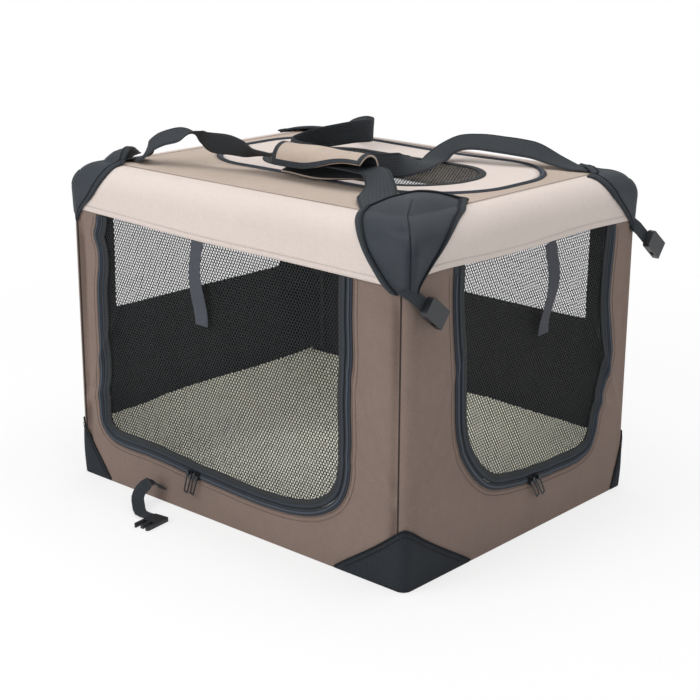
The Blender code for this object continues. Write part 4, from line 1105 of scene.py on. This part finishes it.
# %% Tapes on the edges of a shield
def across(grid, at):
    """Rows of a grid at fractional column numbers, one set of numbers for each row."""
    low = np.clip(np.floor(at).astype(int), 0, grid.shape[1] - 2)
    mix = (at - low)[..., None]
    rows = np.arange(grid.shape[0])[:, None]
    return grid[rows, low] * (1 - mix) + grid[rows, low + 1] * mix


def edge_tape(name, grid, normal, at):
    """A tape over a grid's edge: its columns run inwards with a crown; a groove marks its inner side."""
    steps = at.shape[1]
    k = np.linspace(0, 1, steps)
    lift = (0.0012 + 0.0011 * np.sin(math.pi * k) ** 0.6)[None, :, None]
    base, out = across(grid, at), unit(across(normal, at))
    sheet_piece(f"{name}_tape", base + out * lift, binding, "top", "slate_cloth", 0.0014)
    cord_of(f"{name}_groove", base[:, -1] + out[:, -1] * 0.0012, 0.0009, dark_thread, "top", "slate_cloth")
    stitch_row(f"{name}_stitches", base[:, -2] + out[:, -2] * 0.0021, out[:, -2], dark_thread, "top",
               "slate_cloth", 0.0022, 0.0036)


# %% Upper patches
def upper_patch(label, columns=73, rows=64):
    """The shield, a tape of even width on its three edges, and the seam down its middle."""
    s, t = np.meshgrid(np.linspace(0, 1, columns), np.linspace(0, 1, rows))
    body = puffed(label, s, t, 0.0008)
    made = sheet_piece(f"{label}_shield", body, slate, "top", "slate_cloth", patch_cloth)
    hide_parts(f"upper_patch_{label}")
    as_sheet(made, grid_size(body))
    normal = grid_normals(body)
    width = 0.0130
    k = np.linspace(0, 1, 6)
    row_length = np.linalg.norm(np.diff(body, axis=1), axis=2).sum(axis=1)
    share = np.minimum(width / row_length, 0.46)[:, None] * (columns - 1)
    edge_tape(f"{label}_long_edge", body, normal, share * k)
    edge_tape(f"{label}_end_edge", body, normal, columns - 1 - share * k)
    turned, turned_normal = body.transpose(1, 0, 2), normal.transpose(1, 0, 2)
    back = np.linalg.norm(turned[:, 1:] - turned[:, :-1], axis=2)[:, ::-1]
    inward = np.array([np.interp(width, running(row), np.arange(rows)) for row in back])
    edge_tape(f"{label}_cut_edge", turned, turned_normal, rows - 1 - inward[:, None] * k)
    line, out = body[:, (columns - 1) // 2], normal[:, (columns - 1) // 2]
    ridge, seam = slice(5, int(rows * 0.60)), slice(int(rows * 0.60), rows - 6)
    cord_of(f"{label}_ridge_seam", line[ridge] + out[ridge] * 0.0003, 0.0009, dark_thread, "top",
            "slate_cloth")
    stitch_row(f"{label}_seam_stitches", line[seam] + out[seam] * 0.0004, out[seam], binding, "top",
               "slate_cloth", 0.0022, 0.0034)


for label in corners:
    upper_patch(label)


# %% [markdown]
# ## Lower patches
# The bottom corners are capped with a dark triangle folded round the corner. Its height falls from the apex
# at the corner to nothing at each end.


# %% Places round a corner
lower_reach = {"front_right": (0.128, 0.145), "front_left": (0.068, 0.100), "back_right": (0.100, 0.030),
               "back_left": (0.100, 0.100)}
lower_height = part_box("lower_patch_front_right")[1][2]


def corner_place(corner, p, z, n):
    """A place round a corner: p is negative along the long side, positive along the end side."""
    sx, sy = corner
    start = round_corner / 2
    turn = np.clip((p + start) / round_corner, 0, 1) * math.pi / 2
    along_side = np.maximum(-p - start, 0.0)
    along_end = np.maximum(p - start, 0.0)
    x = half_length - corner_radius + (corner_radius + n) * np.sin(turn) - along_side
    y = half_width - corner_radius + (corner_radius + n) * np.cos(turn) - along_end
    return np.stack([sx * x, sy * y, z + 0 * x], axis=-1)


# %% Lower patches
for label, corner in corners.items():
    reach = lower_reach[label]
    p = np.concatenate([np.linspace(-reach[0], -0.012, 40), np.linspace(-0.012, 0.012, 12)[1:-1],
                        np.linspace(0.012, reach[1], 40)])
    fall = np.where(p < 0, -p / reach[0], p / reach[1])
    height = lower_height * (1 - np.sqrt(fall**2 + 0.0016) + 0.04) * (1 - 0.06 * np.sin(math.pi * fall))
    height = np.clip(height, 0.0006, lower_height)
    share = np.linspace(0, 1, 14)[:, None]
    level = 0.0005 + (height[None] - 0.0005) * share
    swell = 0.0010 + 0.0022 * np.sin(math.pi * share) * (1 - fall[None])
    every_p = np.repeat(p[None], len(share), axis=0)
    points = corner_place(corner, every_p, level, swell)
    flat = np.stack([every_p, level], axis=-1)
    made = sheet_piece(f"{label}_foot_patch", points, low_patch, "base", "slate_cloth", foot_cloth, flat)
    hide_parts(f"lower_patch_{label}")
    as_sheet(made, grid_size(points))
    rim = corner_place(corner, p, height, 0.0016)
    cord_of(f"{label}_foot_rim", rim, 0.0012, dark_thread, "base", "slate_cloth")
    keep = height > 0.016
    stitch_row(f"{label}_foot_stitches", corner_place(corner, p[keep], height[keep] - 0.009, 0.0030),
               (corner[0], corner[1], 0.0), dark_thread, "base", "slate_cloth")


# %% [markdown]
# ## The roof
# Between the band's seam and the flap the roof is brown. The flap is pale, with round ends, a zip round it
# and an oval net vent in it. Each is a ring between two ovals, so its grid runs round and from one oval to
# the other. The roof sags a little between the tubes.


# %% Roof
flap_low, flap_high = np.array(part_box("roof_flap_cloth"))
vent_low, vent_high = np.array(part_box("roof_vent_net"))
flap_centre, flap_half = (flap_low + flap_high)[:2] / 2, (flap_high - flap_low)[:2] / 2
vent_centre, vent_half = (vent_low + vent_high)[:2] / 2, (vent_high - vent_low)[:2] / 2


def oval(centre, half, radius, count=240):
    """A rounded oblong: straight sides and quarter arcs, at equal steps round it."""
    found = []
    for k, (sx, sy) in enumerate(((1, -1), (1, 1), (-1, 1), (-1, -1))):
        turn = np.linspace(0, math.pi / 2, 30) + (k - 1) * math.pi / 2
        found.append(np.stack([sx * (half[0] - radius) + radius * np.cos(turn),
                               sy * (half[1] - radius) + radius * np.sin(turn)], axis=-1))
    line = np.concatenate(found + [found[0][:1]])
    run = running(np.linalg.norm(np.diff(line, axis=0), axis=1))
    return read_off(line, run, np.linspace(0, run[-1], count)) + centre


def roof_level(x, y):
    """The roof's height: it sags between the tubes and ripples a little."""
    share_x, share_y = x / (half_length - seam_inset), y / (half_width - seam_inset)
    sag = 0.0035 * np.clip(1 - share_x**2, 0, 1) * np.clip(1 - share_y**2, 0, 1)
    ripple = 0.0010 * np.sin(17 * x + 5 * y) * np.sin(23 * y) * np.clip(1 - share_x**4, 0, 1)
    return roof_top - sag + ripple


def roof_ring(name, outer, inner, finish, body, slot, rows, lift, thickness=roof_cloth, crown=0.0):
    """A ring between two ovals on the roof, lifted off it, with a crown across it."""
    share = np.linspace(0, 1, rows)[:, None, None]
    line = outer[None] + (inner - outer)[None] * share
    rise = lift + crown * np.sin(math.pi * share[..., 0])
    level = roof_level(line[..., 0], line[..., 1]) + rise
    points = np.concatenate([line, level[..., None]], axis=-1)
    return sheet_piece(name, points, finish, body, slot, thickness, line, weld=True)


# %% Roof, flap and vent
roof_half = np.array((half_length - seam_inset, half_width - seam_inset))
made = roof_ring("roof_cloth", oval((0, 0), roof_half, 0.004), oval(flap_centre, flap_half + 0.0108, 0.131),
                 painted_lit_brown, "top", "brown_cloth", 14, 0.0)
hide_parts("roof_panel")
as_sheet(made, 2 * roof_half)
made = roof_ring("roof_zip_tape", oval(flap_centre, flap_half + 0.0104, 0.1304),
                 oval(flap_centre, flap_half + 0.0004, 0.1204), tape, "top", "zip_tape", 5, 0.0006,
                 crown=0.0010)
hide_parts("roof_zip")
line = oval(flap_centre, flap_half + 0.0050, 0.125, 700)
path = np.column_stack([line, roof_level(*line.T) + 0.0020])
solid_piece("roof_zip_coil", toothed(path, (0.0, 0.0, 1.0), 0.0014), coil_finish, "top", "zip_tape")
made = roof_ring("flap_cloth", oval(flap_centre, flap_half - 0.0002, 0.120),
                 oval(vent_centre, vent_half, 0.090), pale, "roof_flap", "pale_cloth", 12, 0.0004)
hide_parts("roof_flap_cloth")
as_sheet(made, 2 * flap_half)
roof_ring("vent_edge", oval(vent_centre, vent_half + 0.008, 0.098),
          oval(vent_centre, vent_half - 0.004, 0.086), door_edge, "roof_flap", "zip_tape", 5, 0.0012,
          crown=0.0010)
made = roof_ring("vent_mesh", oval(vent_centre, vent_half, 0.090),
                 oval(vent_centre, vent_half * 0.02, 0.0015), mesh_net, "roof_flap", "black_net", 14, -0.0006,
                 thickness=0.0)
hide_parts("roof_vent_net")
as_sheet(made, 2 * vent_half)
line = oval((0, 0), roof_half + 0.0004, 0.004, 500)
path = np.column_stack([line, np.full(len(line), roof_top - 0.0004)])
cord_of("roof_seam", path, 0.0009, thread, "top", "brown_cloth")


# %% [markdown]
# ## Carry handles
# Each handle is one length of webbing from patch to patch. Its route is a smooth curve through given
# places, and at each place a direction says which way the width lies, so the strap twists as it
# goes. The front one carries a padded sleeve, folded round it and open at one side.


# %% Routes of the two handles
handle_rise = 0.050
front_handle_shares = [
    ((-0.8600, -0.7200, 0.0300), (0.00, 1.00, 0.00)), ((-0.8286, -0.6900, 0.0800), (0.00, 1.00, 0.00)),
    ((-0.7886, -0.6763, 0.1600), (0.00, 1.00, 0.10)), ((-0.7400, -0.7050, 0.4000), (-0.45, 0.70, 0.50)),
    ((-0.7029, -0.6835, 0.6600), (-0.58, 0.65, 0.50)), ((-0.6657, -0.6475, 0.8200), (-0.58, 0.65, 0.50)),
    ((-0.6057, -0.6043, 0.9400), (-0.58, 0.65, 0.45)), ((-0.5514, -0.5647, 1.0000), (-0.64, 0.71, -0.20)),
    ((-0.5143, -0.5360, 0.8800), (-0.45, 0.50, -0.70)), ((-0.4714, -0.5180, 0.7400), (-0.29, 0.33, -0.90)),
    ((-0.3857, -0.4856, 0.7200), (-0.29, 0.33, -0.90)), ((-0.3143, -0.4604, 0.6400), (-0.35, 0.50, -0.80)),
    ((-0.2514, -0.4353, 0.5600), (-0.10, 0.90, -0.45)), ((-0.1714, -0.4173, 0.5400), (0.00, 0.95, -0.30)),
    ((-0.0571, -0.4101, 0.5400), (0.00, 0.97, -0.20)), ((0.1429, -0.4101, 0.5400), (0.00, 1.00, 0.00)),
    ((0.3429, -0.4101, 0.5400), (0.00, 1.00, 0.10)), ((0.4143, -0.4137, 0.5300), (0.10, 0.97, 0.25)),
    ((0.4743, -0.4676, 0.4200), (0.40, 0.75, 0.55)), ((0.5314, -0.5540, 0.2800), (0.50, 0.76, 0.42)),
    ((0.5886, -0.6367, 0.1500), (0.58, 0.80, 0.12)), ((0.6500, -0.7150, 0.0800), (0.60, 0.80, 0.00)),
    ((0.7400, -0.8200, 0.0400), (0.60, 0.80, 0.00))]
rear_handle_shares = [
    ((-0.8300, 0.8300, 0.0400), (0.10, 1.00, 0.00)), ((-0.7657, 0.7986, 0.0700), (0.10, 1.00, 0.00)),
    ((-0.6743, 0.7842, 0.1400), (0.05, 0.95, 0.20)),
    ((-0.5429, 0.7410, 0.3600), (-0.30, 0.70, 0.60)), ((-0.4000, 0.6655, 0.5600), (-0.35, 0.55, 0.75)),
    ((-0.2800, 0.5827, 0.6200), (-0.20, 0.30, 0.93)), ((-0.2343, 0.4964, 0.6600), (0.00, 0.10, 1.00)),
    ((-0.2571, 0.3957, 0.6600), (0.10, -0.10, 1.00)), ((-0.3086, 0.2878, 0.5800), (0.15, -0.15, 0.98)),
    ((-0.3543, 0.1727, 0.5000), (0.25, -0.20, 0.90)), ((-0.3600, 0.0360, 0.4400), (0.40, -0.15, 0.90)),
    ((-0.3086, -0.1079, 0.4300), (0.30, 0.20, 0.92)), ((-0.2000, -0.1942, 0.4300), (0.05, 0.30, 0.95)),
    ((-0.0286, -0.2230, 0.4300), (0.00, 0.30, 0.95)), ((0.1714, -0.2230, 0.4300), (0.00, 0.30, 0.95)),
    ((0.2857, -0.1942, 0.4300), (0.00, 0.10, 1.00)), ((0.3371, -0.0935, 0.4200), (-0.30, -0.05, 0.95)),
    ((0.3286, 0.0144, 0.3600), (-0.65, -0.15, 0.72)), ((0.2971, 0.1295, 0.2800), (-0.76, -0.25, 0.55)),
    ((0.2571, 0.2518, 0.1700), (-0.85, -0.30, 0.20)), ((0.2171, 0.3741, 0.0900), (-0.95, -0.30, 0.00)),
    ((0.1829, 0.4820, 0.1300), (-0.90, -0.10, 0.20)), ((0.1943, 0.5576, 0.3600), (-0.80, 0.40, 0.40)),
    ((0.2429, 0.6043, 0.5600), (-0.60, 0.60, 0.50)), ((0.3229, 0.6475, 0.6200), (-0.58, 0.64, 0.50)),
    ((0.4229, 0.6727, 0.6000), (-0.45, 0.70, 0.55)), ((0.5171, 0.7014, 0.5600), (-0.30, 0.75, 0.58)),
    ((0.5943, 0.7302, 0.4800), (-0.20, 0.80, 0.50)), ((0.6857, 0.7770, 0.2200), (-0.10, 0.95, 0.20)),
    ((0.7657, 0.7986, 0.0700), (0.00, 1.00, 0.00)), ((0.8300, 0.8300, 0.0400), (0.00, 1.00, 0.00))]


def smooth_route(shares, scale, lift, steps=8):
    """A curve through the places, at equal shares between each two."""
    places = np.array([place for place, _ in shares]) * np.array(scale) + np.array((0, 0, lift))
    facing = np.array([side for _, side in shares])
    knots = np.column_stack([np.arange(len(shares)), places, facing])
    found = through(knots, np.linspace(0, len(shares) - 1, (len(shares) - 1) * steps + 1))
    return found[:, :3], found[:, 3:]


# %% Handles
over_roof = (half_length, half_width, handle_rise)
handle_lift = roof_top + 0.0004
for label, shares in (("front", front_handle_shares), ("rear", rear_handle_shares)):
    path, side = smooth_route(shares, over_roof, handle_lift)
    along = np.linspace(0, 1, len(path))
    wide = carry_width + (0.020 * soft_step((along - 0.78) / 0.12) if label == "front" else 0.0 * along)
    made = strap(f"{label}_carry_strap", path, side, wide, 0.0022, webbing, f"{label}_handle", "dark_webbing")
    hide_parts(f"{label}_handle")
    for sign in (-1, 1):
        turn = np.linspace(0, 2 * math.pi, 5)[:-1]
        profile = np.stack([0.0006 * np.cos(turn), 0.0012 + 0.0003 * np.sin(turn)], axis=-1)
        profile = np.repeat(profile[None], len(path), axis=0)
        profile[..., 0] += sign * (wide / 2 - 0.0025)[:, None]
        end = "right" if sign > 0 else "left"
        solid_piece(f"{label}_strap_rib_{end}", carried(path, side, profile), dark_thread, f"{label}_handle",
                    "dark_webbing")
    webbing_length = np.linalg.norm(np.diff(path, axis=0), axis=1).sum()
    print(label, "handle: webbing", round(webbing_length, 3), "m long")


# %% [markdown]
# ## Grip sleeve
# The sleeve is a strip of roof cloth wrapped round the front handle, with bound edges. It is an open C: a
# round section with a gap that widens towards one end. Its surface is a function of the place along the
# grip and of the share of the way round.


# %% Grip sleeve
grip_low, grip_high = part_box("grip_wrap")
grip_y, grip_z = -0.4101 * half_width, handle_lift + 0.54 * handle_rise
grip_radius = 0.0235
grip_gap = math.radians(85)
grip_facing = math.radians(-38)


def sleeve(name, radius, finish, thickness, start=0.0, end=1.0, first=0.0, last=1.0):
    """An open C round the handle: its radius swells between its ends, and its lips turn out a little."""
    x = grip_low[0] + (grip_high[0] - grip_low[0]) * np.linspace(start, end, 36)[:, None]
    share = np.linspace(first, last, 48)[None]
    mid = (x - grip_low[0]) / (grip_high[0] - grip_low[0])
    gap = grip_gap * (0.75 + 1.15 * soft_step((mid - 0.30) / 0.6))
    turn = gap / 2 + (2 * math.pi - gap) * share + grip_facing - math.pi / 2
    lip = 0.0020 * (np.exp(-share / 0.04) + np.exp(-(1 - share) / 0.04))
    reach = radius - 0.0012 + 0.0016 * np.sin(math.pi * mid) + lip + 0.0006 * np.sin(70 * x + 9 * share)
    points = np.stack([x + 0 * share, grip_y + reach * np.cos(turn), grip_z + reach * np.sin(turn)], axis=-1)
    cloud = points.reshape(-1, 3)
    faces = turned_out(cloud, quads(*points.shape[:2]), np.array((0.0, grip_y, grip_z)))
    dark_inside = finish is painted_lit_brown
    finishes = (finish, door_edge) if dark_inside else finish
    made = make_piece(name, cloud, faces, finishes, "front_handle", "brown_cloth", flat_map(points))
    return thicken(made, thickness, dark_inside)


made = sleeve("grip_sleeve", grip_radius, painted_lit_brown, 0.0032)
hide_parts("grip_wrap")
for name, part in (("grip_left_edge", (0.0, 0.045)), ("grip_right_edge", (0.955, 1.0)),
                   ("grip_lower_lip", (0.0, 1.0, 0.0, 0.07)), ("grip_upper_lip", (0.0, 1.0, 0.93, 1.0))):
    sleeve(name, grip_radius + 0.0008, binding, 0.0012, *part)
print("grip sleeve", round(grip_high[0] - grip_low[0], 3), "m long")


# %% [markdown]
# ## Hanging ties
# Under each door's hem a strap hangs for tying the rolled door. It has been folded in storage, so it hangs
# in a shallow S in front of the net.


# %% Ties
def tie(name, side, axis, lean):
    """A strap down from the hem: it sways across as a sine and stands out as a sine's square."""
    node = f"{name}_strap"
    low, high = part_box(node)
    u = (low[axis] + high[axis]) / 2
    z = np.linspace(hem + 0.003, low[2], 60)
    share = (z[0] - z) / (z[0] - z[-1])
    across = u + lean[0] * np.sin(1.6 * math.pi * share) + lean[1] * share
    out = 0.0022 + lean[2] * np.sin(math.pi * share) ** 2
    path = side.place(across, z, out, flat=True)
    twist = 0.10 * np.sin(2 * math.pi * share)
    sideways = side.along * np.cos(twist)[:, None] + side.outward * np.sin(twist)[:, None]
    made = strap(name, path, sideways, tie_width, 0.0012, tie_webbing, name, "dark_webbing")
    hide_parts(node)
    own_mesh(made)
    print(name, "hangs from", round(z[0], 3), "to", round(z[-1], 3), "m")


tie("front_tie", front, 0, (-0.004, 0.000, 0.006))
tie("end_tie", right, 1, (0.007, -0.002, 0.006))


# %% [markdown]
# ## The fleece mat
# The mat is a soft pad a little larger than the floor, so its rims turn up against the walls: the photo
# shows them about 10 cm up the back and left walls. A soft fold crosses it. Its height is a formula of the
# place: a flat cushion, a rim that rises as a power of the nearness to a wall, the fold, and a few waves of
# pile.


# %% Height of the mat
mat_thickness = 0.032
pull_in = 0.008
fold_x, fold_y = -0.10, 0.07
fold_cos, fold_sin = 0.78, 0.62
cut_rim, cut_middle = 0.006, 0.018


def mat_level(u, v, x, y):
    """Height of the mat's top: rims rise as a power over their reach; the fold is a ridge with a valley."""
    flat_top = mat_low[2] + mat_thickness
    level = np.full_like(x, flat_top)
    for share, reach, rim_height in (((1 - u) / 2, 0.12, 0.100), ((1 + u) / 2, 0.08, 0.060),
                                     ((1 - v) / 2, 0.10, 0.050), ((1 + v) / 2, 0.15, 0.096)):
        rise = np.clip((share - 1 + reach) / reach, 0, 1)
        level = np.maximum(level, flat_top + (rim_height - flat_top) * rise ** 2.6)
    from_x, from_y = x - fold_x, y - fold_y
    across_fold = from_x * fold_sin - from_y * fold_cos + 0.02 * np.sin(9 * x)
    along_fold = from_x * fold_cos + from_y * fold_sin
    valley = 0.006 * np.exp(-(((across_fold - 0.045) / 0.022) ** 2))
    ridge = 0.010 * np.exp(-((across_fold / 0.030) ** 2)) - valley
    swell = 0.004 * np.sin(11 * x + 5 * y) * np.sin(13 * y - 4 * x)
    pile_relief = 0.0010 * np.sin(310 * x + 40 * np.sin(21 * y)) * np.sin(290 * y + 35 * np.sin(17 * x))
    return level + ridge * np.exp(-((along_fold / 0.20) ** 2)) + swell + pile_relief


# %% Mat
def mat(count=215):
    """A top from the formula, the same grid below it, and a skirt that joins them."""
    share = np.sin(np.linspace(-1, 1, count) * math.pi / 2)
    u, v = np.meshgrid(share, share)
    half = (mat_high - mat_low)[:2] / 2
    x, y = half[0] * u * (1 - pull_in * v * v), half[1] * v * (1 - pull_in * u * u)
    low = mat_low[2]
    z = mat_level(u, v, x, y)
    top = np.stack([x, y, z], axis=-1)
    rim = np.maximum(np.abs(u), np.abs(v)) > 0.9999
    thick = np.where(rim, cut_rim, cut_middle)
    under = np.stack([x, y, np.maximum(z - thick, low)], axis=-1)
    both = np.concatenate([top.reshape(-1, 3), under.reshape(-1, 3)])
    faces = quads(count, count)
    back_again = np.arange(count - 2, -1, -1)
    edge = np.concatenate([np.arange(count), np.arange(1, count) * count + count - 1,
                           (count - 1) * count + back_again, back_again[:-1] * count])
    ahead = np.roll(edge, -1)
    skirt = np.stack([edge, edge + count * count, ahead + count * count, ahead], axis=1)
    every = np.concatenate([faces, faces[:, ::-1] + count * count, skirt])
    made = make_piece("fleece_cushion", both, every, fleece, "base", "cream_fleece")
    face_outwards(made)
    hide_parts("fleece_mat")
    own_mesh(made)
    print("mat: top between", round(z.min(), 3), "and", round(z.max(), 3), "m")


mat()


# %% [markdown]
# ## Buckle straps
# The straps of the two upper buckles come out from under the patches, so each is drawn longer than its
# solid, which starts at the patch's edge. A power bends the hidden part inwards.


# %% Straps of the upper buckles
strap_tilt = math.radians(38)
strap_half = 0.013
for label, hidden in (("front", 0.010), ("back", 0.018)):
    node = f"{label}_buckle_strap"
    middle = np.mean(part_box(node), axis=0)
    fall = np.array((0.0, math.cos(strap_tilt), -math.sin(strap_tilt)))
    run = np.linspace(-strap_half - hidden, strap_half, 24)
    inward = np.clip((-strap_half - run) / hidden, 0, 1) ** 1.3
    path = middle + run[:, None] * fall + inward[:, None] * np.array((-0.012, 0.0, 0.004))
    across_strap = np.broadcast_to((0.0, math.sin(strap_tilt), math.cos(strap_tilt)), path.shape)
    made = strap(f"{label}_buckle_webbing", path, across_strap, 0.020, 0.0018, webbing, node, "dark_webbing")
    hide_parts(node)
    print(label, "buckle strap", round(run[-1] - run[0], 3), "m long")


# %% [markdown]
# ## Bevels
# No moulded or cast edge is quite sharp. The buckles, sliders and pulls keep the shapes of their nodes and
# get a small bevel, so that an edge catches the light.


# %% Bevels on the hard pieces
bevelled = [made for node, made in frame["nodes"].items()
            if ("buckle" in node and "strap" not in node) or "slider" in node or "pull" in node]
for made in bevelled:
    bevel = made.modifiers.new("edge", "BEVEL")
    bevel.width = 0.0003
    bevel.segments = 2
    bevel.limit_method = "ANGLE"
print("bevelled pieces:", len(bevelled))


# %% [markdown]
# ## Floor, light and camera
# The floor is plain and pale, and fades to white away from the crate. The world lights evenly, one large
# lamp stands to the left of the camera and one above, so the front is a little brighter than the end wall
# and the roof is brightest, also as its cloth is painted lighter. A weak lamp inside stands for the light
# that comes through the nets onto the mat.


# %% Floor and world
plain_radius = 0.55
fade_width = 1.1


def pale_floor():
    """A plane just below the crate; to the camera it glows more and more with the distance."""
    size = 6.0
    mesh = bpy.data.meshes.new("floor")
    places = [(-size, -size, 0), (size, -size, 0), (size, size, 0), (-size, size, 0)]
    mesh.from_pydata(places, [], [(0, 1, 2, 3)])
    ground = bpy.data.objects.new("floor", mesh)
    bpy.context.scene.collection.objects.link(ground)
    finish = Finish("pale_floor", (0.93, 0.93, 0.93), 0.9)
    output = finish.tree.nodes["Material Output"]
    ray = finish.node("ShaderNodeLightPath")
    glow = finish.node("ShaderNodeEmission", sockets={"Color": (1, 1, 1, 1), "Strength": 1.0})
    mix = finish.node("ShaderNodeMixShader")
    x, y = finish.parts(finish.place())
    out = (x * x + y * y).math("SQRT") - plain_radius
    away = out.math("DIVIDE", fade_width).math("MINIMUM", 1.0).math("MAXIMUM", 0.0)
    seen = Value(finish, ray.outputs["Is Camera Ray"]) * (away * 0.30 + 0.70)
    finish.tree.links.new(seen.socket, mix.inputs[0])
    finish.tree.links.new(finish.shader.outputs[0], mix.inputs[1])
    finish.tree.links.new(glow.outputs[0], mix.inputs[2])
    finish.tree.links.new(mix.outputs[0], output.inputs["Surface"])
    mesh.materials.append(finish.material)
    ground.location.z = -0.0006


def studio_world():
    """Even light for the crate, and pure white where the camera sees past it."""
    world = bpy.data.worlds.new("studio")
    world.use_nodes = True
    tree = world.node_tree
    plain = tree.nodes["Background"]
    plain.inputs["Color"].default_value = (1, 1, 1, 1)
    plain.inputs["Strength"].default_value = 0.62
    white = tree.nodes.new("ShaderNodeBackground")
    white.inputs["Color"].default_value = (1, 1, 1, 1)
    white.inputs["Strength"].default_value = 1.0
    ray = tree.nodes.new("ShaderNodeLightPath")
    mix = tree.nodes.new("ShaderNodeMixShader")
    tree.links.new(ray.outputs["Is Camera Ray"], mix.inputs[0])
    tree.links.new(plain.outputs[0], mix.inputs[1])
    tree.links.new(white.outputs[0], mix.inputs[2])
    tree.links.new(mix.outputs[0], tree.nodes["World Output"].inputs["Surface"])
    bpy.context.scene.world = world


# %% Lamps
def lamp(name, place, size, power, look_at=inside):
    """A square area lamp that looks at a place, the crate's middle unless another is given."""
    data = bpy.data.lights.new(name, "AREA")
    data.size = size
    data.energy = power
    made = bpy.data.objects.new(name, data)
    made.location = place
    direction = np.array(look_at) - np.array(place)
    made.rotation_euler = (math.acos(-direction[2] / np.linalg.norm(direction)), 0.0,
                           math.atan2(direction[1], direction[0]) - math.pi / 2)
    made.visible_camera = False
    bpy.context.scene.collection.objects.link(made)
    print("lamp", name, "at", place, "with", power, "watts")


pale_floor()
studio_world()
lamp("left_softbox", (-0.9, -2.6, 1.9), 1.8, 36.0)
lamp("top_softbox", (0.3, 0.2, 2.8), 2.0, 32.0)
lamp("inside_fill", (0.0, 0.0, 0.41), 0.30, 0.7, (0.0, 0.0001, 0.0))

# %% [markdown]
# ## Camera
# The camera stands where the photograph was taken from, with its long lens. Its place, turn and lens come
# from fitting the crate's edges to the photograph.

# %% Camera
view_yaw = math.radians(41.806)
view_pitch = math.radians(17.0455)
view_roll = math.radians(-0.2915)
lens = bpy.data.cameras.new("camera")
lens.lens = 79.6
lens.sensor_width = 36.0
camera = bpy.data.objects.new("camera", lens)
bpy.context.scene.collection.objects.link(camera)
camera.location = (1.597, -1.793, 0.957)
camera.rotation_mode = "XYZ"
camera.rotation_euler = (math.pi / 2 - view_pitch, view_roll, view_yaw)
bpy.context.scene.camera = camera
bpy.context.scene.view_settings.view_transform = "Standard"
print("camera at", tuple(camera.location), "lens", lens.lens)
